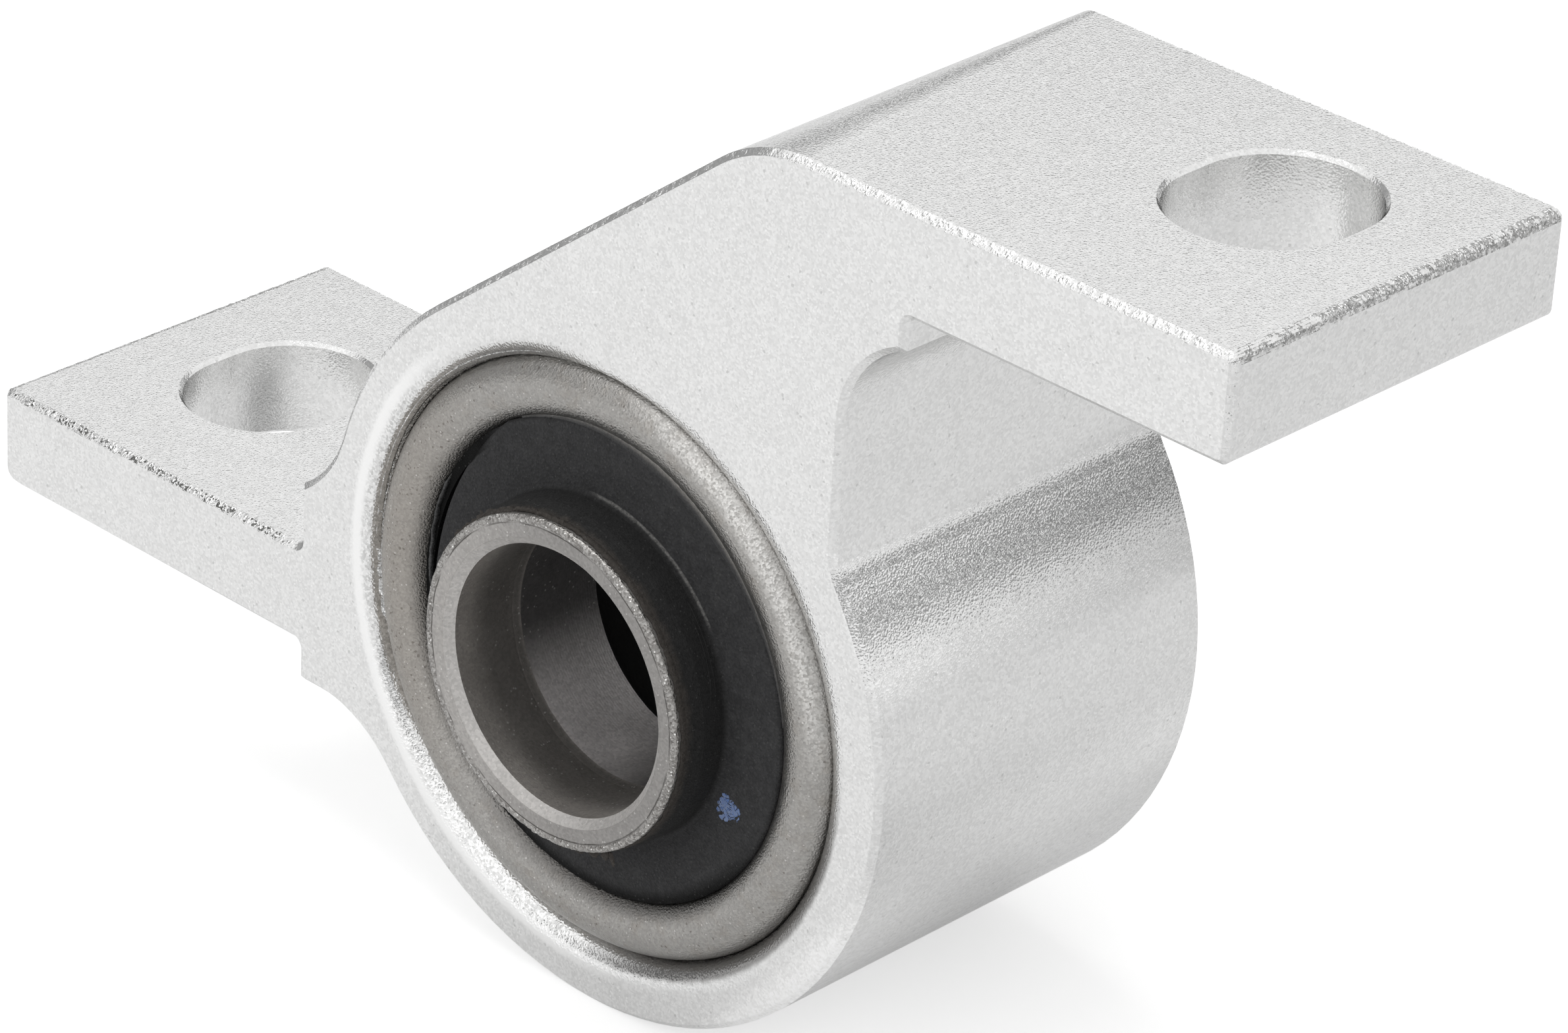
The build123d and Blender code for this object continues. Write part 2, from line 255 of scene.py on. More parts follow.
def only_in_reflections(held_up):
    held_up.visible_camera = held_up.visible_diffuse = False
    held_up.visible_shadow = held_up.visible_transmission = False


panel_points = [
    (PANEL_X, PANEL_FROM_Y, FLOOR_Z), (PANEL_X, PANEL_TO_Y, FLOOR_Z),
    (PANEL_X, PANEL_TO_Y, PANEL_TOP), (PANEL_X, PANEL_FROM_Y, PANEL_TOP),
]
panel = mesh_object("left_panel", panel_points, [(0, 1, 2, 3)])
panel.data.materials.append(plain_card("dim_card", 0.50))

# Painted shade: grey cards that stand in for shade on the table, seen only in reflections.
grey_points = []
for x0, x1, y0, y1 in TABLE_SHADE_CARDS:
    grey_points += [(x, y, FLOOR_Z + MM) for x, y in ((x0, y0), (x1, y0), (x1, y1), (x0, y1))]
grey = mesh_object("table_shade_card", grey_points, [(0, 1, 2, 3), (4, 5, 6, 7)])
grey.data.materials.append(plain_card("table_shade_card", 0.86))
for held_up in (card, panel, grey):
    only_in_reflections(held_up)
print("three cards, seen only in reflections")

# %% [markdown]
# Two soft boxes light the object, the key from the front and another from above. A ray that
# meets a lamp goes on to the white world behind it, and the two add up to a clipped highlight.
# So the key gets a black back.

# %% Lamps
KEY_PLACE, KEY_SIZE, KEY_WATTS = (-0.15, -0.9, 0.5), 0.9, 3.0
TOP_PLACE, TOP_SIZE, TOP_WATTS = (-0.3, 0.0, 1.3), 0.9, 6
BACK_GAP = 0.02               # from the lamp to its black back


def soft_lamp(name, place, size, watts):
    """Square soft box that looks at the middle of the bore."""
    data = bpy.data.lights.new(name, "AREA")
    data.size = size
    data.energy = watts
    lamp = bpy.data.objects.new(name, data)
    turned_to = Vector(place).to_track_quat("Z", "Y").to_matrix().to_4x4()
    lamp.matrix_world = Matrix.Translation(place) @ turned_to
    scene.collection.objects.link(lamp)
    return lamp


key = soft_lamp("key", KEY_PLACE, KEY_SIZE, KEY_WATTS)
soft_lamp("top", TOP_PLACE, TOP_SIZE, TOP_WATTS)
half = KEY_SIZE / 2
back_points = [key.matrix_world @ Vector((x * half, y * half, BACK_GAP)) for x, y in SQUARE]
box_back = mesh_object("key_back", back_points, [(0, 1, 2, 3)])
box_back.data.materials.append(plain_card("black_card", 0.02))
only_in_reflections(box_back)
print("key of", KEY_WATTS, "W in a box of", KEY_SIZE, "m")

# %% [markdown]
# ## Grain, the effect that all the finishes share
# Shot-blasting hammers a metal face into tiny dimples, and a rubber mould prints a fine
# texture of its own. Both are far too small to model, so they are a bump that follows the
# object's own coordinates. One node group makes the height, a mask of the few facets that
# catch the light, a shade for each grain, and a slow cloudy value. Each finish places it with
# its own size.

# %% Helpers for node groups
def new_group(name, inputs, outputs):
    """Empty shader group; inputs are (name, default), outputs are names. All are floats."""
    group = bpy.data.node_groups.new(name, "ShaderNodeTree")
    for label, default in inputs:
        socket = group.interface.new_socket(label, in_out="INPUT", socket_type="NodeSocketFloat")
        socket.default_value = default
    for label in outputs:
        group.interface.new_socket(label, in_out="OUTPUT", socket_type="NodeSocketFloat")
    entry, out = group.nodes.new("NodeGroupInput"), group.nodes.new("NodeGroupOutput")
    return group, entry.outputs, out.inputs


def place_group(tree, group, **values):
    """Group node with its inputs set; gives its outputs. Underscores stand for spaces."""
    made = tree.nodes.new("ShaderNodeGroup")
    made.node_tree = group
    for label, value in values.items():
        made.inputs[label.replace("_", " ")].default_value = value
    return made.outputs


def noise_node(tree, scale, detail=2.0, roughness=0.5):
    """Noise over the object's own coordinates. The scale is per metre."""
    made = node(tree, "TexNoise")
    made.inputs["Detail"].default_value = detail
    made.inputs["Roughness"].default_value = roughness
    tree.links.new(node(tree, "TexCoord").outputs["Object"], made.inputs["Vector"])
    feed(tree, made.inputs["Scale"], scale)
    return made.outputs["Fac"]


# %% Grain group
GRAIN_INPUTS = [("Grains per metre", 2600.0), ("Dimples", 0.5), ("Speck share", 0.08)]
SPECK_REACH = 0.42            # share of a cell that its speck may fill
CLOUD_SCALE = 0.05            # clouds are twenty times larger than grains
grain, given, out = new_group("blast_grain", GRAIN_INPUTS, ["Height", "Specks", "Shade", "Clouds"])
ripples = noise_node(grain, given["Grains per metre"], detail=1.0, roughness=0.6)
cells = node(grain, "TexVoronoi")
grain.links.new(node(grain, "TexCoord").outputs["Object"], cells.inputs["Vector"])
grain.links.new(given["Grains per metre"], cells.inputs["Scale"])
dimple = times(grain, cells.outputs["Distance"], given["Dimples"])
grain.links.new(math_node(grain, "ADD", ripples, dimple), out["Height"])

split = node(grain, "SeparateColor")
grain.links.new(cells.outputs["Color"], split.inputs["Color"])
chosen = math_node(grain, "LESS_THAN", split.outputs["Red"], given["Speck share"])
near = math_node(grain, "LESS_THAN", cells.outputs["Distance"], SPECK_REACH)
grain.links.new(times(grain, chosen, near), out["Specks"])
grain.links.new(split.outputs["Green"], out["Shade"])
clouds_per_metre = times(grain, given["Grains per metre"], CLOUD_SCALE)
grain.links.new(noise_node(grain, clouds_per_metre, detail=4.0), out["Clouds"])
print("group", grain.name, "with", len(grain.nodes), "nodes")

# %% [markdown]
# A finish is put together from few steps: a material with a grain in it, colours that run into
# each other by a mask, a range moved to another range, and at the end the wires to the shader.

# %% Helpers that make a finish
def grained(name, per_metre, dimples, speck_share):
    """New material with a grain in it. Gives the material, tree, shader and the grain."""
    material, made, principled = new_material(name)
    sizes = {"Grains_per_metre": per_metre, "Dimples": dimples, "Speck_share": speck_share}
    return material, made, principled, place_group(made, grain, **sizes)


def blend_colours(tree, mask, low, high):
    """Colour that runs from low to high by a mask socket. Gives the colour socket."""
    mix = node(tree, "Mix", data_type="RGBA")
    tree.links.new(mask, mix.inputs["Factor"])
    feed(tree, mix.inputs[6], low)
    feed(tree, mix.inputs[7], high)
    return mix.outputs[2]


def brighten(tree, colour, value):
    """Colour made lighter or darker by a value socket."""
    made = node(tree, "HueSaturation")
    tree.links.new(value, made.inputs["Value"])
    tree.links.new(colour, made.inputs["Color"])
    return made.outputs[0]


def remap(tree, value, low, high, to_low=0.0, to_high=1.0, smooth=False):
    """Value moved from one range to another, clamped."""
    made = node(tree, "MapRange", interpolation_type="SMOOTHSTEP" if smooth else "LINEAR")
    tree.links.new(value, made.inputs["Value"])
    ends = (("From Min", low), ("From Max", high), ("To Min", to_low), ("To Max", to_high))
    for label, end in ends:
        feed(tree, made.inputs[label], end)
    return made.outputs[0]


def complete(tree, shader, colour, rough, height, tall, metallic=1.0):
    """Wires a finish to its shader. The bump is as tall as tall says, in metres."""
    tree.links.new(colour, shader.inputs["Base Color"])
    tree.links.new(rough, shader.inputs["Roughness"])
    feed(tree, shader.inputs["Metallic"], metallic)
    relief = node(tree, "Bump")
    relief.inputs["Distance"].default_value = tall
    relief.inputs["Strength"].default_value = 1.0
    tree.links.new(height, relief.inputs["Height"])
    tree.links.new(relief.outputs["Normal"], shader.inputs["Normal"])


def dress(name, material):
    """Gives a CAD node's material slots this finish."""
    for slot in nodes[name].material_slots:
        slot.material = material
    print(name, "now wears", material.name)


# %% [markdown]
# ## Rings, bands and sides
# Everything inside the barrel is round about the Y axis, so a mark is either a ring at some
# radius or a band at some depth. Two small groups turn the object's coordinates into such
# masks, with a ragged border, because no real edge of dirt, oxide or machining is clean. Light
# and dirt come from one side, so a third mask looks at how far a point lies towards an angle
# round the axis, from the +X side over the top.

# %% Ring, band and side groups
GATE_INPUTS = [("From", 0.0), ("To", 1.0), ("Soft", 0.0002), ("Ragged", 0.0002)]
SIDE_INPUTS = [("Towards", 0.0), ("From", 0.0), ("To", 1.0)]
RAGS_PER_METRE = 900.0


def split_xyz(tree):
    """The object's own X, Y and Z, as sockets."""
    made = node(tree, "SeparateXYZ")
    tree.links.new(node(tree, "TexCoord").outputs["Object"], made.inputs[0])
    return made.outputs["X"], made.outputs["Y"], made.outputs["Z"]


def bore_radius(tree):
    """Distance from the Y axis."""
    x, _, z = split_xyz(tree)
    return math_node(tree, "SQRT", math_node(tree, "ADD", times(tree, x, x), times(tree, z, z)))


def bore_depth(tree):
    """Distance along the Y axis from the middle, the same to the front and to the back."""
    return math_node(tree, "ABSOLUTE", split_xyz(tree)[1])


def soft_step(tree, value, limit, soft):
    """Rises from nought to one about a limit. All are sockets."""
    low, high = (math_node(tree, kind, limit, soft) for kind in ("SUBTRACT", "ADD"))
    return remap(tree, value, low, high, smooth=True)


def gate_group(name, measure):
    """Group that gives one where a measure of the place lies between two limits."""
    group, given, out = new_group(name, GATE_INPUTS, ["Mask"])
    rags = math_node(group, "SUBTRACT", noise_node(group, RAGS_PER_METRE, detail=3.0), 0.5)
    value = math_node(group, "MULTIPLY_ADD", rags, given["Ragged"], measure(group))
    rise = soft_step(group, value, given["From"], given["Soft"])
    fall = soft_step(group, value, given["To"], given["Soft"])
    group.links.new(math_node(group, "SUBTRACT", rise, fall), out["Mask"])
    return group


ring_mask = gate_group("ring_mask", bore_radius)
band_mask = gate_group("band_mask", bore_depth)
side_mask, given, out = new_group("side_mask", SIDE_INPUTS, ["Mask"])
x, _, z = split_xyz(side_mask)
along_x = times(side_mask, x, math_node(side_mask, "COSINE", given["Towards"]))
along_z = times(side_mask, z, math_node(side_mask, "SINE", given["Towards"]))
reach = math_node(side_mask, "ADD", along_x, along_z)
side_mask.links.new(remap(side_mask, reach, given["From"], given["To"], smooth=True), out["Mask"])
print("groups", ring_mask.name, band_mask.name, side_mask.name)


# %% Masks with sizes in millimetres
def gate(tree, group, low, high, soft, rags):
    sizes = {"From": low * MM, "To": high * MM, "Soft": soft * MM, "Ragged": rags * MM}
    return place_group(tree, group, **sizes)["Mask"]


def ring(tree, low, high, soft, rags):
    """Mask between two radii, with a border this soft and this ragged."""
    return gate(tree, ring_mask, low, high, soft, rags)


def band(tree, low, high, soft, rags):
    """Mask between two depths from the middle, with a border this soft and this ragged."""
    return gate(tree, band_mask, low, high, soft, rags)


def towards(tree, degrees, low, high):
    """Mask that rises between two distances towards an angle round the bore."""
    sizes = {"Towards": math.radians(degrees), "From": low * MM, "To": high * MM}
    return place_group(tree, side_mask, **sizes)["Mask"]


# %% [markdown]
# The tool that turned the bore left a fine thread of marks. A sine along Y makes them, and a
# slow noise makes them waver as a real cut does.

# %% Turning marks group
WAVER_PER_METRE = 350.0
turning, given, out = new_group("turning_marks", [("Pitch", 0.00025), ("Wander", 0.6)], ["Height"])
turns = math_node(turning, "DIVIDE", split_xyz(turning)[1], given["Pitch"])
waver = noise_node(turning, WAVER_PER_METRE)
turns = math_node(turning, "MULTIPLY_ADD", waver, given["Wander"], turns)
turning.links.new(math_node(turning, "SINE", times(turning, turns, 2 * math.pi)), out["Height"])
print("group", turning.name)

# %% [markdown]
# ## Blasted aluminium
# The bracket is sawn from an extruded bar and then shot-blasted. From a step away it is an
# even light silver; close up it has a fine pebbled grain with bright glints. A fully metallic
# shader gives the reflections, the grain's bump breaks them up where light meets dark, and the
# specks are a little smoother, so they glint.

# %% Bracket finish
SILVER_DARK = (0.715, 0.715, 0.71, 1)
SILVER_LIGHT = (0.88, 0.88, 0.875, 1)
PIT = (0.45, 0.45, 0.445, 1)
GLINT = (0.97, 0.97, 0.965, 1)
GRAIN_CONTRAST, CLOUD_CONTRAST = 0.85, 0.15
PIT_SHARE, PIT_MIX = 0.004, 0.35        # how many grains are pits, and how dark
GLINT_MIX = 0.6
blasted, tree, shader, grains = grained("blasted_aluminium", 4600.0, 0.9, 0.05)
shade = remap(tree, grains["Shade"], 0.0, 1.0, 0.0, GRAIN_CONTRAST)
clouds = remap(tree, grains["Clouds"], 0.3, 0.7)
shade = math_node(tree, "MULTIPLY_ADD", clouds, CLOUD_CONTRAST, shade)
tone = blend_colours(tree, shade, SILVER_DARK, SILVER_LIGHT)
pitted = math_node(tree, "LESS_THAN", grains["Shade"], PIT_SHARE)
tone = blend_colours(tree, times(tree, pitted, PIT_MIX), tone, PIT)
tone = blend_colours(tree, times(tree, grains["Specks"], GLINT_MIX), tone, GLINT)
print("plain faces from", SILVER_DARK[:3], "to", SILVER_LIGHT[:3])

# %% [markdown]
# The mouth of the barrel has a painted highlight on the left, is coarser further in, and has
# painted shade on the lower right. Each of these is a ring times a side.

# %% Mouth of the barrel
HIGHLIGHT_RING = (28.75, 30.0, 0.35, 0.4)  # from, to, soft and ragged, in millimetres
GRAINY_RING = (27.2, 28.85, 0.4, 0.5)
SHADE_RING = (26.0, 28.7, 0.3, 0.4)
MOUTH_LEFT = (205, 5, 17)               # towards which angle, from and to how far that way
MOUTH_LOW_RIGHT = (315, 18, 25)
HIGHLIGHT_MIX, GRAINY_MIX, SHADE_MIX = 0.9, 0.42, 0.9
MOUTH_PAINTED_SHADE = (0.24, 0.235, 0.23, 1)
on_left = towards(tree, *MOUTH_LEFT)
# Painted highlight: the left of the mouth is painted near white.
painted_highlight = times(tree, ring(tree, *HIGHLIGHT_RING), on_left, HIGHLIGHT_MIX)
tone = blend_colours(tree, painted_highlight, tone, GLINT)
coarse = blend_colours(tree, remap(tree, grains["Shade"], 0.15, 0.8), PIT, GLINT)
grainy = times(tree, ring(tree, *GRAINY_RING), on_left, GRAINY_MIX)
tone = blend_colours(tree, grainy, tone, coarse)
# Painted shade: the lower right of the mouth is painted dark.
painted_shade = times(tree, ring(tree, *SHADE_RING), towards(tree, *MOUTH_LOW_RIGHT), SHADE_MIX)
tone = blend_colours(tree, painted_shade, tone, MOUTH_PAINTED_SHADE)
print("mouth worn between", GRAINY_RING[0], "and", HIGHLIGHT_RING[1], "mm from the axis")

# %% [markdown]
# The barrel's side has painted light towards the front and painted shade towards the back, above
# its brightest line and below it.

# %% Side of the barrel
BLOCK_HALF = 20.0 * MM
ABOVE_LINE, BELOW_LINE = (27, 31.9, 32.8), (-40, 28.9, 32.0)
ABOVE_FRONT, ABOVE_BACK = 0.16, -0.24   # change of brightness at the front and at the back
BELOW_FRONT, BELOW_BACK = 0.22, -0.16
WEB_FOOT_Z, BARREL_ONLY_Z = 22.5, 18    # the web's flank keeps its own tone
_, y, z = split_xyz(tree)
off_web = remap(tree, z, WEB_FOOT_Z * MM, BARREL_ONLY_Z * MM)
above_painted_light = remap(tree, y, -BLOCK_HALF, BLOCK_HALF, ABOVE_FRONT, ABOVE_BACK)
above_painted_light = times(tree, above_painted_light, off_web)
below_painted_light = remap(tree, y, -BLOCK_HALF, BLOCK_HALF, BELOW_FRONT, BELOW_BACK)
# Painted light at the front of the barrel's side and painted shade at its back.
value = math_node(tree, "MULTIPLY_ADD", towards(tree, *ABOVE_LINE), above_painted_light, 1.0)
value = math_node(tree, "MULTIPLY_ADD", towards(tree, *BELOW_LINE), below_painted_light, value)
tone = brighten(tree, tone, value)
print("barrel's side graded over", 2 * BLOCK_HALF, "m")

# %% [markdown]
# The shot wore the mouth's edge rounder on the left. The bump leans the light the way that wear
# does: it falls away inward, as a circle does near its top. In the mouth the grain is coarser.

# %% Roughness and bump of the bracket
MOUTH_TO_R = 29.6
WORN_ROUND_R = 2.6
WORN_SIDE = (158, 10, 21)
COARSER_BY = 0.5
BLAST_TALL = 0.0185 * MM
rough = remap(tree, grains["Height"], 0.3, 1.0, 0.21, 0.16)
rough = math_node(tree, "SUBTRACT", rough, times(tree, grains["Specks"], 0.05))
in_mouth = ring(tree, 0.0, MOUTH_TO_R, 0.2, 0.1)
height = times(tree, grains["Height"], math_node(tree, "MULTIPLY_ADD", in_mouth, COARSER_BY, 1.0))
inside = math_node(tree, "SUBTRACT", MOUTH_TO_R * MM, bore_radius(tree))
inside = math_node(tree, "MAXIMUM", inside, 0.0)
fall = times(tree, inside, inside, -0.5 / (WORN_ROUND_R * MM), towards(tree, *WORN_SIDE))
height = math_node(tree, "MULTIPLY_ADD", height, BLAST_TALL, fall)
complete(tree, shader, tone, rough, height, 1.0)
dress("bracket", blasted)

# %% [markdown]
# ## Outer sleeve
# Drawn steel with a thin phosphate coat: grey with a little brown, satin, and finely mottled.

# %% Outer sleeve finish
COAT_GREY = (0.375, 0.365, 0.35, 1)
COAT_BROWN = (0.345, 0.325, 0.30, 1)
COAT_PIT = (0.12, 0.10, 0.085, 1)
COAT_RUBBED = (0.85, 0.84, 0.82, 1)
COAT_CLOUDS = 14000.0
BROWN_FROM_X, BROWN_TO_X = -12, -24     # the left of the lip is browner and more pitted
coated, tree, shader, grains = grained("coated_steel", 5200.0, 0.9, 0.03)
clouds = place_group(tree, grain, Grains_per_metre=COAT_CLOUDS)["Clouds"]
left = remap(tree, split_xyz(tree)[0], BROWN_FROM_X * MM, BROWN_TO_X * MM, smooth=True)
browned = math_node(tree, "MAXIMUM", remap(tree, clouds, 0.5, 0.7, 0, 0.7), left)
tone = blend_colours(tree, browned, COAT_GREY, COAT_BROWN)
tone = brighten(tree, tone, remap(tree, grains["Shade"], 0, 1, 0.86, 1.12))
pit_share = math_node(tree, "MULTIPLY_ADD", left, 0.03, 0.006)
pitted = math_node(tree, "LESS_THAN", grains["Shade"], pit_share)
tone = blend_colours(tree, times(tree, pitted, 0.45), tone, COAT_PIT)
tone = blend_colours(tree, times(tree, grains["Specks"], 0.4), tone, COAT_RUBBED)
print("coat from", COAT_GREY[:3], "to", COAT_BROWN[:3])

# %% [markdown]
# Where the lip rolls over on the upper right, a streaked painted highlight lightens the coat.
# Towards its free edge the lip has painted shade, and more of it at the bottom.

# %% Lip of the outer sleeve
COAT_PAINTED_HIGHLIGHT = (0.74, 0.73, 0.71, 1)
COAT_PAINTED_SHADE = (0.10, 0.095, 0.09, 1)
LIP_ROLL, ROLL_RIGHT = (25.2, 26.5, 0.6, 0.5), (42, 18.5, 24.5)
FREE_EDGE, LOW_EDGE = (0.0, 22.1, 0.9, 0.5), (0.0, 22.7, 0.9, 0.5)
EDGE_BOTTOM = (280, 12, 20)
LIP_SHADE_MIX = 0.72
highlight_streaks = remap(tree, grains["Shade"], 0.1, 0.9, 0.25, 1.0)
# Painted highlight on the lip's roll, on the upper right.
lip_highlight = times(tree, ring(tree, *LIP_ROLL), towards(tree, *ROLL_RIGHT), highlight_streaks)
tone = blend_colours(tree, lip_highlight, tone, COAT_PAINTED_HIGHLIGHT)
low_edge = times(tree, ring(tree, *LOW_EDGE), towards(tree, *EDGE_BOTTOM))
# Painted shade towards the lip's free edge, and more at the bottom.
lip_shade = math_node(tree, "MAXIMUM", ring(tree, *FREE_EDGE), low_edge)
tone = blend_colours(tree, times(tree, lip_shade, LIP_SHADE_MIX), tone, COAT_PAINTED_SHADE)
rough = remap(tree, clouds, 0.35, 0.65, 0.34, 0.40)
rough = math_node(tree, "SUBTRACT", rough, times(tree, grains["Specks"], 0.14))
complete(tree, shader, tone, rough, grains["Height"], 0.035 * MM)
dress("outer_sleeve", coated)

# %% [markdown]
# ## Inner sleeve
# A turned tube has a different face for each cut. The end face is bare and light. The mouth of
# the bore is smooth and browned, the land behind it shows the fine rings of the tool, and the
# relief in the middle is painted almost black and not metallic, as painted shade deep in the
# bore. The bands follow the sizes of the bore in the CAD. Each is measured back from the
# sleeve's end, and the masks do the same at the other end.

# %% Places in the bore
END_Y = cad_box[1][1]                   # the sleeve is the longest thing along Y
MOUTH_LONG, LAND_LONG = 8.3, 9.0
LAND_END = MOUTH_LONG + LAND_LONG
CORNER_AT = 7.7                         # dark corner in front of the land
turned, tree, shader, grains = grained("turned_steel", 4500.0, 0.6, 0.03)


def behind_end(shallow, deep, soft, rags):
    """Mask between two depths behind the sleeve's end."""
    return band(tree, END_Y / MM - deep, END_Y / MM - shallow, soft, rags)


bore = ring(tree, 0.0, 12.98, 0.02, 0.0)
on_chamfer = times(tree, bore, behind_end(0.02, 0.8, 0.03, 0.03))
# Painted shade in the bore's mouth towards the land, and in the corner in front of the land.
in_shadow = times(tree, bore, behind_end(3.2, CORNER_AT + 0.5, 1.6, 0.4), 0.75)
on_land = times(tree, bore, behind_end(MOUTH_LONG, LAND_END, 0.05, 0.1))
in_corner = times(tree, bore, behind_end(CORNER_AT - 0.2, CORNER_AT + 0.45, 0.25, 0.2), 0.8)
# Painted shade: the relief deep in the bore is painted almost black and is not metallic.
in_relief = times(tree, bore, behind_end(LAND_END, END_Y / MM + 1, 0.04, 0.12))
out_of_relief = math_node(tree, "SUBTRACT", 1.0, in_relief)
groove = times(tree, ring(tree, 14.20, 14.32, 0.05, 0.15), behind_end(-1, 0.1, 0.02, 0.0))
print("land from", MOUTH_LONG, "to", LAND_END, "mm behind the end")

# %% [markdown]
# The left of the end face and the lower left of the land have painted light, and the rest has
# painted shade. A broken dark line on the end face marks how far the facing tool went.

# %% Inner sleeve finish
FACE_PAINTED_LIGHT = (0.43, 0.415, 0.40, 1)
FACE_SHADE = (0.315, 0.305, 0.295, 1)
CHAMFER_STEEL = (0.56, 0.545, 0.53, 1)
BORE_BROWN = (0.46, 0.435, 0.41, 1)
CORNER_PAINTED_SHADE = (0.20, 0.19, 0.18, 1)
LAND_PAINTED_LIGHT = (0.95, 0.92, 0.915, 1)
LAND_SHADE = (0.17, 0.165, 0.165, 1)
RELIEF_PAINTED_SHADE = (0.006, 0.006, 0.006, 1)
GROOVE_DARK = (0.07, 0.065, 0.06, 1)
STEEL_DOT = (0.80, 0.79, 0.77, 1)
FACE_LEFT, LAND_LOW_LEFT = (190, -3, 13), (242, 7.2, 12.6)
# Painted light on the left of the end face and lower left of the land, painted shade elsewhere.
face_tone = blend_colours(tree, towards(tree, *FACE_LEFT), FACE_SHADE, FACE_PAINTED_LIGHT)
land_tone = blend_colours(tree, towards(tree, *LAND_LOW_LEFT), LAND_SHADE, LAND_PAINTED_LIGHT)
tone = blend_colours(tree, bore, face_tone, BORE_BROWN)
for mask, colour in (
    (on_chamfer, CHAMFER_STEEL), (in_shadow, CORNER_PAINTED_SHADE), (on_land, land_tone),
    (in_corner, CORNER_PAINTED_SHADE), (in_relief, RELIEF_PAINTED_SHADE),
):
    tone = blend_colours(tree, mask, tone, colour)
broken = remap(tree, grains["Clouds"], 0.36, 0.5, 0.1, 0.9)
tone = blend_colours(tree, times(tree, groove, broken), tone, GROOVE_DARK)
tone = brighten(tree, tone, remap(tree, grains["Shade"], 0, 1, 0.88, 1.1))
tone = blend_colours(tree, times(tree, grains["Specks"], out_of_relief, 0.4), tone, STEEL_DOT)
rough = remap(tree, grains["Clouds"], 0.35, 0.65, 0.42, 0.50)
rough = math_node(tree, "MULTIPLY_ADD", bore, 0.16, rough)
marks = place_group(tree, turning, Pitch=0.28 * MM, Wander=0.5)
height = times(tree, marks["Height"], on_land, 0.06)
height = math_node(tree, "ADD", height, times(tree, grains["Height"], 0.4))
complete(tree, shader, tone, rough, height, 0.04 * MM, metallic=out_of_relief)
shader.inputs["Specular IOR Level"].default_value = 0.12
dress("inner_sleeve", turned)

# %% [markdown]
# ## Rubber
# Black moulded rubber is matt but not flat: it has a fine print of the mould and patches where
# a release agent dried. A thin streaked painted highlight runs round the neck's root on the upper
# right, and the thin end of the neck has let the steel's brown through.

# %% Rubber finish
RUBBER_BLACK = (0.033, 0.033, 0.034, 1)
RUBBER_BLOOM = (0.046, 0.046, 0.047, 1)
RUBBER_NECK = (0.022, 0.022, 0.022, 1)
RUBBER_PAINTED_HIGHLIGHT = (0.15, 0.147, 0.142, 1)
RUBBER_THIN = (0.048, 0.043, 0.039, 1)
NECK_FOOT_R = 15.7
HIGHLIGHT_TOWARDS_DEG, HIGHLIGHT_SPREAD_DEG = 64.5, 31.5
moulded, tree, shader, grains = grained("moulded_rubber", 5200.0, 0.8, 0.05)
clouds = place_group(tree, grain, Grains_per_metre=14000.0)["Clouds"]
bloom = remap(tree, clouds, 0.4, 0.65, 0.15, 0.85)
tone = blend_colours(tree, bloom, RUBBER_BLACK, RUBBER_BLOOM)
tone = blend_colours(tree, ring(tree, 0.0, NECK_FOOT_R, 0.25, 0.3), tone, RUBBER_NECK)
# Painted highlight: a thin streaked grey line round the neck's root, on the upper right only.
root = ring(tree, NECK_FOOT_R, 15.95, 0.09, 0.08)
reach = NECK_FOOT_R * math.cos(math.radians(HIGHLIGHT_SPREAD_DEG))
facing = towards(tree, HIGHLIGHT_TOWARDS_DEG, reach, reach + 0.9)
highlight_streaks = remap(tree, grains["Shade"], 0.0, 1.0, 0.55, 1.0)
tone = blend_colours(tree, times(tree, root, facing, highlight_streaks), tone, RUBBER_PAINTED_HIGHLIGHT)
tone = blend_colours(tree, band(tree, 23.9, 26.0, 0.45, 1.3), tone, RUBBER_THIN)
print("neck greyed round", HIGHLIGHT_TOWARDS_DEG, "degrees")

# %% [markdown]
# Where the rubber has torn off the lip on the left of the front, and down in the crease at the
# bottom, it sees no light at all.

# %% Tear, crease and gloss of the rubber
RUBBER_PAINTED_SHADE = (0.004, 0.004, 0.004, 1)
RUBBER_DOT = (0.10, 0.10, 0.10, 1)
TEAR_RING, TEAR_SIDE = (20.3, 23.0, 0.1, 0.2), (170, 15.5, 17.5)
CREASE_RING, CREASE_SIDE = (20.7, 25.0, 0.7, 0.3), (278, 10, 18)
in_front = math_node(tree, "LESS_THAN", split_xyz(tree)[1], 0.0)
# Painted shade: the tear on the left and the crease at the bottom are painted nearly black.
shaded_tear = times(tree, ring(tree, *TEAR_RING), towards(tree, *TEAR_SIDE), in_front)
tone = blend_colours(tree, shaded_tear, tone, RUBBER_PAINTED_SHADE)
shaded_crease = times(tree, ring(tree, *CREASE_RING), towards(tree, *CREASE_SIDE), 0.95)
tone = blend_colours(tree, shaded_crease, tone, RUBBER_PAINTED_SHADE)
tone = brighten(tree, tone, remap(tree, grains["Shade"], 0, 1, 0.8, 1.2))
tone = blend_colours(tree, times(tree, grains["Specks"], 0.3), tone, RUBBER_DOT)
rough = remap(tree, clouds, 0.35, 0.65, 0.72, 0.84)
complete(tree, shader, tone, rough, grains["Height"], 0.045 * MM, metallic=0.0)
shader.inputs["Specular IOR Level"].default_value = 0.13
dress("rubber", moulded)

# %% [markdown]
# ## Torn edges
# A CAD chamfer is a perfect ribbon, and light runs along it in one clean line. On the real
# bracket the saw and the blasting left the long edges torn: bright, pitted, with a border that
# wanders. A bump can't move a border, so each of these edges gets a thin skin of real mesh. It
# follows the edge, is pushed in and out by noise, and dips under the CAD surface where it ends.
# A Displace modifier could do the pushing, but writing the points keeps the borders in hand.

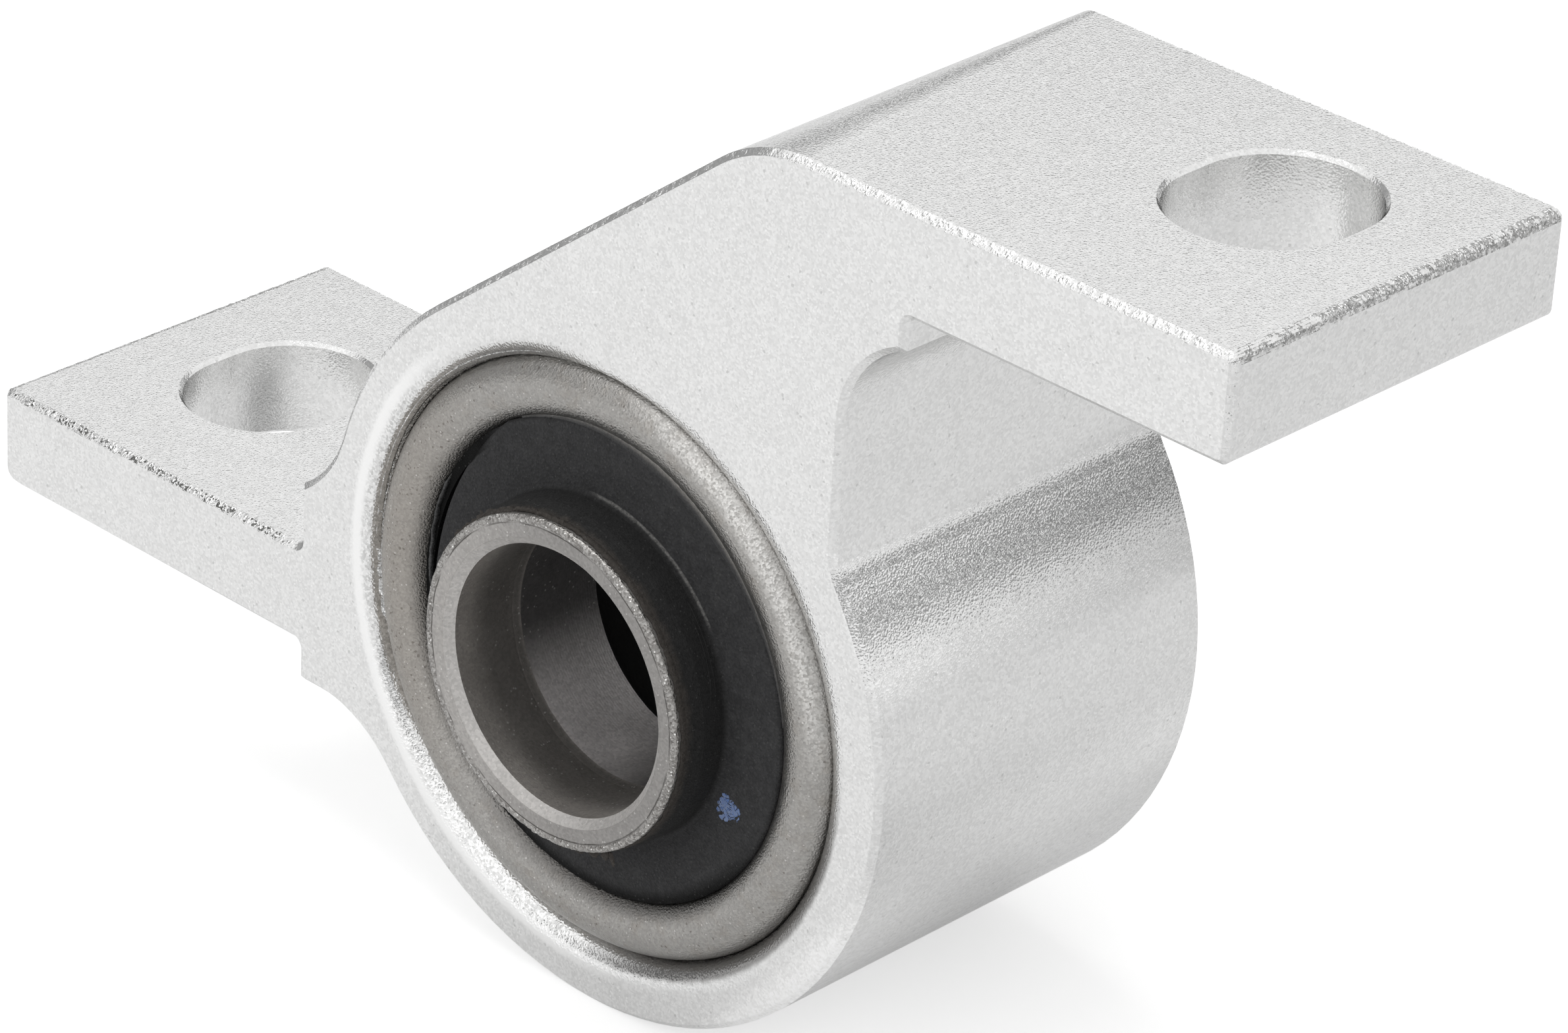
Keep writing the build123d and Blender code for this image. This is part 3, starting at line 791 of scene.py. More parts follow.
# %% Helpers for skins
def wander(place, per_metre, seed):
    """Noise from about -1 to 1 at a point in metres; the seed picks another patch of it."""
    shift = Vector((seed * 7.31, seed * 3.17, seed * 5.53))
    return noise.noise(Vector(place) * per_metre + shift)


def on_circle(r, a, y):
    """Point at a radius in millimetres and an angle about the bore; y is in metres."""
    return (r * MM * math.cos(a), y, r * MM * math.sin(a))


def end_fade(i, count, steps):
    """From nought at both ends of a run up to one, over that many steps."""
    return min(1.0, i / steps, (count - 1 - i) / steps)


def object_from(work, name):
    """Object from a bmesh, which is freed."""
    mesh = bpy.data.meshes.new(name)
    work.to_mesh(mesh)
    work.free()
    piece = bpy.data.objects.new(name, mesh)
    scene.collection.objects.link(piece)
    return piece


def closed_skin(name, rings, joined, smooth=False):
    """Closed mesh from rings of points. Each ring is one closed profile, and joined rings
    run back to the first one; otherwise the two ends are capped."""
    count, wide = len(rings), len(rings[0])
    faces = []
    for i in range(count if joined else count - 1):
        here, ahead = i * wide, (i + 1) % count * wide
        for j in range(wide):
            beside = (j + 1) % wide
            faces.append((here + j, here + beside, ahead + beside, ahead + j))
    if not joined:
        faces.append(tuple(range(wide)))
        faces.append(tuple((count - 1) * wide + j for j in range(wide)))
    piece = mesh_object(name, [p for ring_points in rings for p in ring_points], faces, smooth)
    work = bmesh.new()
    work.from_mesh(piece.data)
    bmesh.ops.recalc_face_normals(work, faces=work.faces)
    work.to_mesh(piece.data)
    work.free()
    return piece


def belongs(piece, material):
    """Says where a new piece rides, and gives it this finish."""
    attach(piece, "root")
    piece.data.materials.clear()
    piece.data.materials.append(material)
    print(piece.name, len(piece.data.polygons), "faces")


def on_both_faces(stem, make, seeds, material):
    """Makes a piece for the front, side -1, and one for the back, side 1."""
    for face, side, seed in (("front", -1, seeds[0]), ("back", 1, seeds[1])):
        belongs(make(f"{stem}_{face}", side, seed), material)


# %% [markdown]
# Two finishes for the torn edges. The long edges are bare metal that the shot has peened:
# lighter than the faces, with dark pits, and deeper pits on the low ear. The corners that the
# saw crossed are dull, with bright flecks.

# %% Torn aluminium and sawn aluminium
TORN_BRIGHT = (0.87, 0.87, 0.865, 1)
TORN_PIT = (0.42, 0.42, 0.415, 1)
TORN_DEEP = (0.17, 0.17, 0.165, 1)
LOW_EAR_SIDE = (180, 34, 38)
SAWN_DARK = (0.28, 0.28, 0.275, 1)
SAWN_MID = (0.66, 0.66, 0.655, 1)
SAWN_FLECK = (0.96, 0.96, 0.955, 1)
torn, tree, shader, grains = grained("torn_aluminium", 5200.0, 0.8, 0.27)
tone = blend_colours(tree, times(tree, grains["Specks"], 0.75), TORN_BRIGHT, TORN_PIT)
deep = math_node(tree, "LESS_THAN", grains["Shade"], 0.36)
deep = times(tree, deep, towards(tree, *LOW_EAR_SIDE))
tone = blend_colours(tree, deep, tone, TORN_DEEP)
rough = remap(tree, grains["Height"], 0.3, 1.0, 0.34, 0.22)
complete(tree, shader, tone, rough, grains["Height"], 0.05 * MM)


def broken_metal(name, specks, dark, light, fleck, rough_low, rough_high, tall):
    """Metal in two shades with flecks; roughness where the grain is low and high."""
    material, tree, shader, grains = grained(name, 5200.0, 0.8, specks)
    tone = blend_colours(tree, grains["Shade"], dark, light)
    tone = blend_colours(tree, grains["Specks"], tone, fleck)
    rough = remap(tree, grains["Height"], 0.3, 1.0, rough_low, rough_high)
    complete(tree, shader, tone, rough, grains["Height"], tall * MM)
    return material


sawn = broken_metal("sawn_aluminium", 0.2, SAWN_DARK, SAWN_MID, SAWN_FLECK, 0.34, 0.2, 0.06)
print("finishes", torn.name, sawn.name)

# %% [markdown]
# The skin has to follow the bracket's own outline. It is read from the CAD mesh, along the line
# where the chamfer ends, and cut into even steps.

# %% The outline of the bracket
BEVEL = 0.55 * MM
SKIN_STEP = 0.15 * MM
OUTSIDE_R = 32 * MM           # the barrel's mouth lies within this
MERGE_WITHIN, ON_LINE_WITHIN = 1e-6, 2e-5


def outline_loop(face_y):
    """Corner points (x, z) of the outline, in order, where the chamfer of one face ends."""
    work = bmesh.new()
    work.from_mesh(nodes["bracket"].data)
    work.transform(nodes["bracket"].matrix_world)
    bmesh.ops.remove_doubles(work, verts=work.verts, dist=MERGE_WITHIN)
    rim_y = math.copysign(abs(face_y) - BEVEL, face_y)
    on_rim = {
        v for v in work.verts
        if abs(v.co.y - rim_y) < ON_LINE_WITHIN and math.hypot(v.co.x, v.co.z) > OUTSIDE_R
    }
    beside = {}
    for edge in work.edges:
        first, second = edge.verts
        if first in on_rim and second in on_rim:
            beside.setdefault(first.index, []).append(second.index)
            beside.setdefault(second.index, []).append(first.index)
    work.verts.ensure_lookup_table()
    start = min(beside)
    order, last, here = [start], None, start
    while len(order) <= len(beside):
        onward = [v for v in beside[here] if v != last]
        last, here = here, onward[0]
        if here == start:
            break
        order.append(here)
    loop = np.array([(work.verts[v].co.x, work.verts[v].co.z) for v in order])
    work.free()
    return loop


def even_steps(loop, step):
    """The closed loop again with points at even distances, and the outward normal at each."""
    closed = np.vstack([loop, loop[:1]])
    lengths = np.hypot(*np.diff(closed, axis=0).T)
    along = np.concatenate([[0], np.cumsum(lengths)])
    spots = np.linspace(0, along[-1], int(along[-1] / step), endpoint=False)
    points = np.column_stack([np.interp(spots, along, closed[:, k]) for k in (0, 1)])
    tangent = np.roll(points, -1, axis=0) - np.roll(points, 1, axis=0)
    tangent /= np.hypot(*tangent.T)[:, None]
    normal = np.column_stack([tangent[:, 1], -tangent[:, 0]])
    ahead = np.roll(points, -1, axis=0)
    area = np.sum(points[:, 0] * ahead[:, 1] - ahead[:, 0] * points[:, 1])
    return points, normal * np.sign(area)


rim_points, rim_normals = even_steps(outline_loop(-BLOCK_HALF), SKIN_STEP)
print("outline", round(len(rim_points) * SKIN_STEP / MM, 1), "mm in", len(rim_points), "steps")

# %% [markdown]
# The saw ran along the ears' tops, so they are worst, and the sloping face is nearly as bad. The
# barrel and the under edges are clean, and there the skin sinks below the CAD's own chamfer.

# %% How badly each stretch of the outline is torn
def tear_at(x, z, nx, nz):
    """From nought to one, by where a point of the outline is and which way it faces."""
    if nz > 0.97 and z > 50 * MM:                       # top of the high ear
        return 1.0
    if nx > 0.3 and z > 44 * MM:                        # end of the high ear
        return 0.8
    if nz > 0.97 and x < -37 * MM:                      # top of the low ear
        return 0.95
    if nx < -0.3 and x < -70 * MM and z > -8 * MM:      # end of the low ear
        return 0.6
    if nz > 0.2 and x < 16 * MM:                        # sloping face, and down to the low ear
        return 0.85
    return 0.05


TEAR_BLUR = 15                # steps over which one stretch runs into the next
window = 2 * TEAR_BLUR + 1
strengths = [tear_at(*point, *normal) for point, normal in zip(rim_points, rim_normals)]
padded = np.pad(np.array(strengths), TEAR_BLUR, mode="wrap")
strengths = np.convolve(padded, np.ones(window) / window, mode="valid")
print("torn share of the outline", round(float(np.mean(strengths > 0.5)), 2))

# %% [markdown]
# The skin's profile runs from under the face, over the chamfer, and under the side. The points
# on the chamfer are pushed by noise, and the two where it dips under wander sideways.

# %% Bevel skins, front and back
# Each profile point is (inward from the outline, behind the face, how far noise may push it).
BEVEL_PROFILE = (
    (0.80, 0.05, 0.0), (0.60, -0.005, 0.6), (0.44, 0.11, 1.0), (0.275, 0.275, 1.0),
    (0.11, 0.44, 1.0), (-0.005, 0.60, 0.6), (0.05, 0.80, 0.0), (0.55, 0.55, 0.0),
)
TEAR = 0.075 * MM
SINK = 0.10 * MM              # how far an untorn stretch of the skin lies below the chamfer
BORDER_WANDER = 0.16 * MM


def bevel_skin(name, side, seed):
    """Torn skin over the chamfer of the front (side -1) or the back (side 1)."""
    rings = []
    for (x, z), (nx, nz), torn_here in zip(rim_points, rim_normals, strengths):
        profile = []
        for inward, behind, push in BEVEL_PROFILE:
            inward, behind = inward * MM, behind * MM
            place = (x - nx * inward, side * (BLOCK_HALF - behind), z - nz * inward)
            if push == 0.0 and inward > behind:
                inward += BORDER_WANDER * wander(place, 2200, seed)
            elif push == 0.0 and behind > inward:
                behind += BORDER_WANDER * wander(place, 2200, seed)
            rugged = 0.25 + wander(place, 2600, seed) + 0.55 * wander(place, 6500, seed + 1)
            lift = push * TEAR * rugged / math.sqrt(2)
            lift -= (push > 0) * (1 - torn_here) * SINK
            inward, behind = inward - lift, behind - lift
            profile.append((x - nx * inward, side * (BLOCK_HALF - behind), z - nz * inward))
        rings.append(profile)
    return closed_skin(name, rings, joined=True)


on_both_faces("bevel", bevel_skin, (1, 4), torn)

# %% [markdown]
# The ears were sawn off the bar, so their top corners at the ends are rough too, the more so
# towards the back, where the saw came out. They run straight along Y, and use the same kind of
# skin with a round profile.

# %% Ear corner skins
HIGH_END, HIGH_TOP = cad_box[1][0], cad_box[1][2]
LOW_END, LOW_TOP = cad_box[0][0], -4.0 * MM
CORNER_R = 0.9 * MM
CORNER_ANGLES = (0, 18, 36, 54, 72, 90)
CORNER_REACH = 19.3 * MM
UNDER = 0.04 * MM             # how deep the borders dip under the faces
TOP_FLAT, END_FLAT = 0.20 * MM, 0.14 * MM


def corner_skin(name, end_x, top_z, outward, seed):
    """Torn skin over the rounded top corner of an ear's end. Outward is 1 or -1 along X."""
    rings = []
    centre_x, centre_z = end_x - outward * CORNER_R, top_z - CORNER_R
    for y in np.arange(-CORNER_REACH, CORNER_REACH, SKIN_STEP):
        share = 0.25 + 0.75 * (y + CORNER_REACH) / (2 * CORNER_REACH)
        flat = TOP_FLAT * share + BORDER_WANDER * wander((end_x, y, top_z), 1800, seed)
        profile = [(centre_x - outward * flat, y, top_z - UNDER)]
        for degrees in CORNER_ANGLES:
            a = math.radians(degrees)
            slant, rise = outward * math.sin(a), math.cos(a)
            place = Vector((centre_x + CORNER_R * slant, y, centre_z + CORNER_R * rise))
            rugged = 0.3 + wander(place, 2400, seed) + 0.6 * wander(place, 6500, seed + 1)
            profile.append(tuple(place + Vector((slant, 0, rise)) * (TEAR * share * rugged)))
        flat = END_FLAT * share + BORDER_WANDER * wander((end_x, y, top_z), 1800, seed + 2)
        profile.append((end_x - outward * UNDER, y, centre_z - flat))
        profile.append((centre_x - outward * 0.1 * MM, y, centre_z - 0.1 * MM))
        rings.append(profile)
    return closed_skin(name, rings, joined=False)


belongs(corner_skin("ear_corner_high", HIGH_END, HIGH_TOP, 1, 8), sawn)
belongs(corner_skin("ear_corner_low", LOW_END, LOW_TOP, -1, 11), sawn)

# %% [markdown]
# On the left, the sleeve pushed up a ridge of aluminium as it was pressed in, so there the
# barrel's rounded mouth runs down to the lip without a gap. The ridge is a skin from the mouth's
# round to the lip's roll. The mouth was turned a little off centre, which the skin must follow.

# %% Ridge in the barrel's mouth
MOUTH_RIM_R, MOUTH_ROUND_R = 29.135, 2.755
MOUTH_OFF, MOUTH_SIDE = 0.8, math.radians(265)
RIDGE_FROM_DEG, RIDGE_TO_DEG, RIDGE_STEP_DEG = 88, 212, 0.3
RIDGE_TOP_R = 27.5            # where the ridge leaves the round
LIP_DEPTH = 1.2               # where it meets the lip's roll, behind the face
RIDGE_FADE, RIDGE_SUNK = 60, 0.30       # steps over which its ends sink, and how far


def mouth_depth(rim_r, r):
    """Depth of the mouth's round at a radius, in millimetres."""
    share = min(1.0, max(0.0, (rim_r - r) / MOUTH_ROUND_R))
    return MOUTH_ROUND_R * (1 - math.sqrt(1 - share ** 2))


def mouth_ridge(name, side, seed):
    rings = []
    angles = np.arange(RIDGE_FROM_DEG, RIDGE_TO_DEG, RIDGE_STEP_DEG)
    for i, a in enumerate(np.radians(angles)):
        spot = on_circle(27.2, a, side * 19.5 * MM)
        sunk = RIDGE_SUNK * (1 - end_fade(i, len(angles), RIDGE_FADE))
        rim_r = MOUTH_RIM_R + MOUTH_OFF * math.cos(a - MOUTH_SIDE)
        torn_by = 0.035 * wander(spot, 2300, seed) + 0.03 * wander(spot, 6000, seed + 1)
        first = mouth_depth(rim_r, RIDGE_TOP_R)
        last = max(LIP_DEPTH, first + 0.35)
        drop = last - first
        tucked_r = RIDGE_TOP_R + 0.25
        profile = (
            (tucked_r, mouth_depth(rim_r, tucked_r) + 0.03), (RIDGE_TOP_R, first - 0.012),
            (27.27 - torn_by, first + 0.33 * drop - torn_by),
            (27.08 - torn_by, first + 0.62 * drop - torn_by),
            (26.92, last), (27.30, last + 0.3), (28.0, first + 0.6),
        )
        rings.append([
            on_circle(r + sunk, a, side * (BLOCK_HALF - (depth + sunk) * MM))
            for r, depth in profile
        ])
    return closed_skin(name, rings, joined=False, smooth=True)


on_both_faces("mouth_ridge", mouth_ridge, (51, 55), sawn)

# %% [markdown]
# ## The inner sleeve's burr
# The face tool stopped short of the rim, so a thin wall of torn steel stands round the end of
# the sleeve. It is a ring with an uneven height and edge, built as the torn edges are.

# %% Burr rings
# Each profile point is (radius, how far it stands proud of the end, how far noise may push it).
BURR_PROFILE = (
    (14.28, -0.05, 0.0), (14.40, 0.02, 0.9), (14.54, 0.05, 1.3), (14.69, 0.04, 1.4),
    (14.84, -0.01, 1.4), (14.98, -0.10, 0.8), (15.03, -0.24, 0.5), (15.03, -0.36, 0.4),
    (14.96, -0.46, 0.0), (14.6, -0.25, 0.0),
)
BURR_TEAR = 0.095
BURR_STEPS = 1100
BURR_WORST = math.radians(-35)
BURR_LIGHT = (0.46, 0.45, 0.435, 1)
BURR_DARK = (0.20, 0.19, 0.18, 1)
BURR_FLECK = (0.9, 0.89, 0.87, 1)


def burr_ring(name, side, seed):
    """Ring of torn steel on the end of the inner sleeve, at the front or the back."""
    rings = []
    for i in range(BURR_STEPS):
        a = 2 * math.pi * i / BURR_STEPS
        worse = 0.8 + 0.7 * max(0.0, math.cos(a - BURR_WORST))
        profile = []
        for r, proud, push in BURR_PROFILE:
            place = on_circle(r, a, side * END_Y)
            rugged = 0.2 + wander(place, 1500, seed) + 0.7 * wander(place, 5000, seed + 1)
            stand = proud + push * worse * BURR_TEAR * rugged
            reach = r + push * 0.5 * BURR_TEAR * wander(place, 2600, seed + 2)
            profile.append(on_circle(reach, a, side * (END_Y + stand * MM)))
        rings.append(profile)
    return closed_skin(name, rings, joined=True)


burr_steel = broken_metal("burr_steel", 0.06, BURR_DARK, BURR_LIGHT, BURR_FLECK, 0.45, 0.3, 0.05)
on_both_faces("end_burr", burr_ring, (21, 25), burr_steel)

# %% [markdown]
# ## Flash on the rubber
# Where the mould closed on the inner sleeve, rubber crept out as a film with a ragged edge,
# and a few crumbs of it hang on. The film is a ring whose front edge wanders, thick where it
# leaves the neck and thin at its rim.

# %% Film at the neck's end
NECK_OUT_R = 15.5
NECK_TIP_R = 15.12            # the neck thins to this at its end
NECK_END = 4.5                # how far the neck stands in front of the bracket's face
FILM_STEPS = 900
FILM_WORST = math.radians(122)


def neck_film(name, side, seed):
    """Ragged rubber film round the end of the neck. Its teeth are largest at the upper left."""
    rings = []
    for i in range(FILM_STEPS):
        a = 2 * math.pi * i / FILM_STEPS
        spot = on_circle(NECK_OUT_R, a, side * 24 * MM)
        torn_here = max(0.0, math.cos(a - FILM_WORST)) ** 2
        creep = 0.24 + 0.22 * wander(spot, 600, seed) + 0.18 * wander(spot, 1900, seed + 1)
        tooth = torn_here * (0.20 + 0.34 * wander(spot, 2300, seed + 3))
        flare = 0.02 + 0.04 * wander(spot, 900, seed + 2) + tooth
        profile = (
            (NECK_TIP_R - 0.02, NECK_END - 0.50),
            (NECK_TIP_R + 0.05 + flare * 0.4, NECK_END - 0.25),
            (NECK_TIP_R + 0.03 + flare * 0.9, NECK_END - 0.02),
            (NECK_TIP_R + flare, NECK_END + 0.10),
            (NECK_TIP_R - 0.02 + flare * 0.5, NECK_END + 0.16),
            (NECK_TIP_R - 0.06, NECK_END + 0.08 + creep * 0.6),
            (15.03, NECK_END + creep), (14.9, NECK_END + creep * 0.8), (14.9, NECK_END - 0.3),
        )
        film = []
        for j, (r, proud) in enumerate(profile):
            beside = (spot[0], spot[1] + j * 0.4 * MM, spot[2])
            jag = 0.04 * wander(beside, 4200, seed + 5) if 0 < j < 6 else 0.0
            film.append(on_circle(r + jag, a, side * (BLOCK_HALF + (proud + jag) * MM)))
        rings.append(film)
    return closed_skin(name, rings, joined=True, smooth=True)


on_both_faces("neck_film", neck_film, (31, 37), moulded)

# %% [markdown]
# Under the sleeve, tongues of flash hang in the crease. They are hulls round points scattered
# in a stretched ball, which starts inside the film. A hull is always closed and never smooth,
# which suits a torn crumb.

# %% Flash tongues
# Each is (inner radius, outer radius, angle, how far in front of the face, half its width).
TONGUES = (
    (14.9, 16.7, -61.5, 4.55, 0.42), (14.9, 16.1, -64, 4.6, 0.7), (14.9, 15.7, -69, 4.65, 0.9),
    (14.9, 15.6, -76, 4.65, 0.9), (14.9, 15.55, -84, 4.65, 0.8), (15.0, 15.6, 103, 4.5, 0.25),
    (15.0, 15.7, 128, 4.5, 0.3), (15.0, 15.6, 143, 4.45, 0.3),
)
TONGUE_POINTS = 22
TONGUE_HALF_THICK = 0.16
TONGUE_TAPER = 0.35
rng = np.random.default_rng(5)
work = bmesh.new()
for inner, outer, degrees, proud, wide in TONGUES:
    a = math.radians(degrees)
    outward = Vector((math.cos(a), 0, math.sin(a)))
    sideways = Vector((-math.sin(a), 0, math.cos(a)))
    points = []
    for _ in range(TONGUE_POINTS):
        ball = Vector(rng.normal(size=3)).normalized() * (0.75 + 0.25 * rng.random())
        out_by = (inner + outer) / 2 + ball.x * (outer - inner) / 2
        taper = 1.0 - TONGUE_TAPER * (ball.x + 1) / 2
        depth = -(BLOCK_HALF / MM + proud) + ball.z * TONGUE_HALF_THICK * taper
        spot = outward * out_by + sideways * (ball.y * wide * taper) + Vector((0, depth, 0))
        points.append(work.verts.new(spot * MM))
    hull = bmesh.ops.convex_hull(work, input=points)
    unused = [v for v in hull["geom_interior"] if isinstance(v, bmesh.types.BMVert)]
    bmesh.ops.delete(work, geom=unused, context="VERTS")
belongs(object_from(work, "flash_tongues"), moulded)

# %% [markdown]
# Where the rubber has torn off the lip, a ragged strip of it stands by itself in the gap. It is
# greyer than the moulded face, because it has no skin.

# %% Strip beside the tear
STRIP_GREY = (0.075, 0.075, 0.076, 1)
STRIP_DARK = (0.03, 0.03, 0.03, 1)
STRIP_FROM_DEG, STRIP_TO_DEG, STRIP_STEP_DEG = 150, 198, 0.35
STRIP_FADE = 12               # steps over which its ends taper
STRIP_R, STRIP_DRIFT = 21.38, 0.022     # radius where it starts, and how it falls per degree
STRIP_FOOT = 1.05
strip_rubber, tree, shader, grains = grained("torn_rubber", 4800.0, 0.8, 0.1)
tone = blend_colours(tree, grains["Shade"], STRIP_DARK, STRIP_GREY)
rough = remap(tree, grains["Height"], 0.3, 1.0, 0.5, 0.75)
complete(tree, shader, tone, rough, grains["Height"], 0.06 * MM, metallic=0.0)


def torn_strip():
    rings = []
    angles = np.arange(STRIP_FROM_DEG, STRIP_TO_DEG, STRIP_STEP_DEG)
    for i, degrees in enumerate(angles):
        a = math.radians(degrees)
        spot = on_circle(21, a, -19 * MM)
        fade = end_fade(i, len(angles), STRIP_FADE)
        middle = STRIP_R - STRIP_DRIFT * (degrees - STRIP_FROM_DEG) + 0.06 * wander(spot, 700, 71)
        half_wide = (0.15 + 0.06 * wander(spot, 1700, 72)) * (0.3 + 0.7 * fade)
        top = 0.50 + 0.12 * wander(spot, 1300, 73) + 0.5 * (1 - fade)
        profile = []
        for across, depth in (
            (-1.0, top + 0.10), (-0.4, top), (0.5, top + 0.03), (1.0, top + 0.14),
            (0.9, STRIP_FOOT), (-0.9, STRIP_FOOT),
        ):
            frayed = 0.03 * wander((spot[0], across * MM, spot[2]), 4000, 74)
            r = middle + across * half_wide + frayed
            profile.append(on_circle(r, a, -BLOCK_HALF + depth * MM))
        rings.append(profile)
    return closed_skin("torn_strip", rings, joined=False, smooth=True)


belongs(torn_strip(), strip_rubber)

# %% [markdown]
# On the upper right the rubber runs up on the lip, and thins out until the steel shows. The
# smear is a skin over the lip, black at its foot and the steel's grey at its top.

# %% Smear up the lip
SMEAR_GREY = (0.23, 0.22, 0.205, 1)
SMEAR_FROM_DEG, SMEAR_TO_DEG, SMEAR_STEP_DEG = 8, 118, 0.4
SMEAR_FADE, SMEAR_SUNK = 110, 0.35
# Each profile point is (radius, depth behind the bracket's face).
SMEAR_PROFILE = (
    (21.15, 0.19), (21.45, 0.125), (21.85, 0.10), (22.2, -0.02),
    (22.45, -0.15), (22.72, -0.27), (22.6, 0.15), (21.5, 0.40),
)


def lip_smear(name, side, seed):
    rings = []
    angles = np.arange(SMEAR_FROM_DEG, SMEAR_TO_DEG, SMEAR_STEP_DEG)
    for i, a in enumerate(np.radians(angles)):
        spot = on_circle(22, a, side * 20 * MM)
        sunk = SMEAR_SUNK * (1 - end_fade(i, len(angles), SMEAR_FADE))
        profile = []
        for j, (r, depth) in enumerate(SMEAR_PROFILE):
            above = (spot[0], spot[1], spot[2] + j * MM)
            uneven = 0.03 * wander(above, 2600, seed) if 0 < j < 6 else 0.0
            behind = (depth + sunk + 0.3 * uneven) * MM
            profile.append(on_circle(r + uneven, a, side * (BLOCK_HALF - behind)))
        rings.append(profile)
    return closed_skin(name, rings, joined=False, smooth=True)


smeared, tree, shader, grains = grained("smeared_rubber", 5200.0, 0.8, 0.05)
tone = blend_colours(tree, ring(tree, 22.05, 24.0, 0.5, 0.3), RUBBER_BLACK, SMEAR_GREY)
tone = brighten(tree, tone, remap(tree, grains["Shade"], 0, 1, 0.8, 1.2))
rough = remap(tree, grains["Clouds"], 0.35, 0.65, 0.6, 0.75)
complete(tree, shader, tone, rough, grains["Height"], 0.045 * MM, metallic=0.0)
on_both_faces("lip_smear", lip_smear, (81, 83), smeared)

# %% [markdown]
# The mould's parting line left two fine ridges on the neck, which slant a little. Each is a
# small closed ridge along a path of angles and depths.

# %% Seams on the neck
SEAM_PATHS = (
    ((48, 0.55), (29, 0.62), (21, 0.67), (13, 0.90), (7, 1.40)),
    ((40, 0.95), (28, 1.02), (19, 1.18), (10, 1.62)),
)
SEAM_STEPS, SEAM_BLUR, SEAM_FADE = 160, 12, 20


def seam(name, path, side, seed):
    """Fine ridge along the neck through points (angle, how far in front of the face)."""
    angles = np.linspace(path[0][0], path[-1][0], SEAM_STEPS)
    prouds = np.interp(-angles, [-p[0] for p in path], [p[1] for p in path])
    window = 2 * SEAM_BLUR + 1
    padded = np.pad(prouds, SEAM_BLUR, mode="edge")
    prouds = np.convolve(padded, np.ones(window) / window, mode="valid")
    rings = []
    for i, (a, proud) in enumerate(zip(np.radians(angles), prouds)):
        spot = on_circle(NECK_OUT_R, a, side * proud * MM)
        fade = end_fade(i, len(angles), SEAM_FADE)
        tall = (0.045 + 0.02 * wander(spot, 3000, seed)) * fade - 0.01
        rings.append([
            on_circle(NECK_OUT_R + rise, a, side * (BLOCK_HALF + (proud + across) * MM))
            for across, rise in ((-0.07, -0.03), (-0.02, tall), (0.02, tall), (0.07, -0.03))
        ])
    return closed_skin(name, rings, joined=False, smooth=True)


for number, path in enumerate(SEAM_PATHS):
    for face, side, seed in (("front", -1, 41), ("back", 1, 45)):
        piece = seam(f"neck_seam_{face}_{number + 1}", path, side, seed + number)
        belongs(piece, moulded)

# %% [markdown]
# ## The paint mark
# A dab of blue paint on the ring of rubber says that the bush was inspected. It went on with a
# stiff brush and has cracked since, so it is a thin ragged patch with gaps, and real thickness.
# A formula says where there is paint, small square cells take its shape, and the patch is then
# extruded off the rubber.

# %% Where the paint is
PAINT_R, PAINT_ANGLE = 17.62, math.radians(-23.5)
PAINT_HALF = 1.45             # along the radius, and round the ring
RING_FACE = 0.15              # how far the rubber's ring face lies behind the bracket's
ROOT_R = 0.45                 # of the round at the neck's root
along_axis = Vector((math.cos(PAINT_ANGLE), 0, math.sin(PAINT_ANGLE)))
across_axis = Vector((-math.sin(PAINT_ANGLE), 0, math.cos(PAINT_ANGLE)))


def paint_cover(u, v):
    """Above nought where there is paint; u and v in millimetres from its middle."""
    spot = (u * MM, v * MM, 0)
    edge = 1.0 - (u / PAINT_HALF) ** 2 - (v / PAINT_HALF) ** 2
    blotch = 0.55 * wander(spot, 1100, 61) + 0.4 * wander(spot, 2900, 62)
    crack = 1.0 - min(1.0, abs(wander(spot, 1500, 63)) * 4.5)
    crack = max(crack, 1.0 - min(1.0, abs(wander(spot, 2600, 65)) * 5))
    jagged = 0.5 * max(0.0, -v) * (0.6 + wander(spot, 2200, 66))
    return edge + blotch - crack - jagged - 0.02


def paint_point(u, v):
    """Point on the rubber under the paint, which climbs the round at the neck's root."""
    r = PAINT_R + u
    over_root = max(0.0, NECK_OUT_R + ROOT_R - r)
    fillet = ROOT_R - math.sqrt(max(0.0, ROOT_R ** 2 - over_root ** 2))
    flat = along_axis * (r * MM) + across_axis * (v * MM)
    return flat + Vector((0, -BLOCK_HALF + (RING_FACE - fillet) * MM, 0))


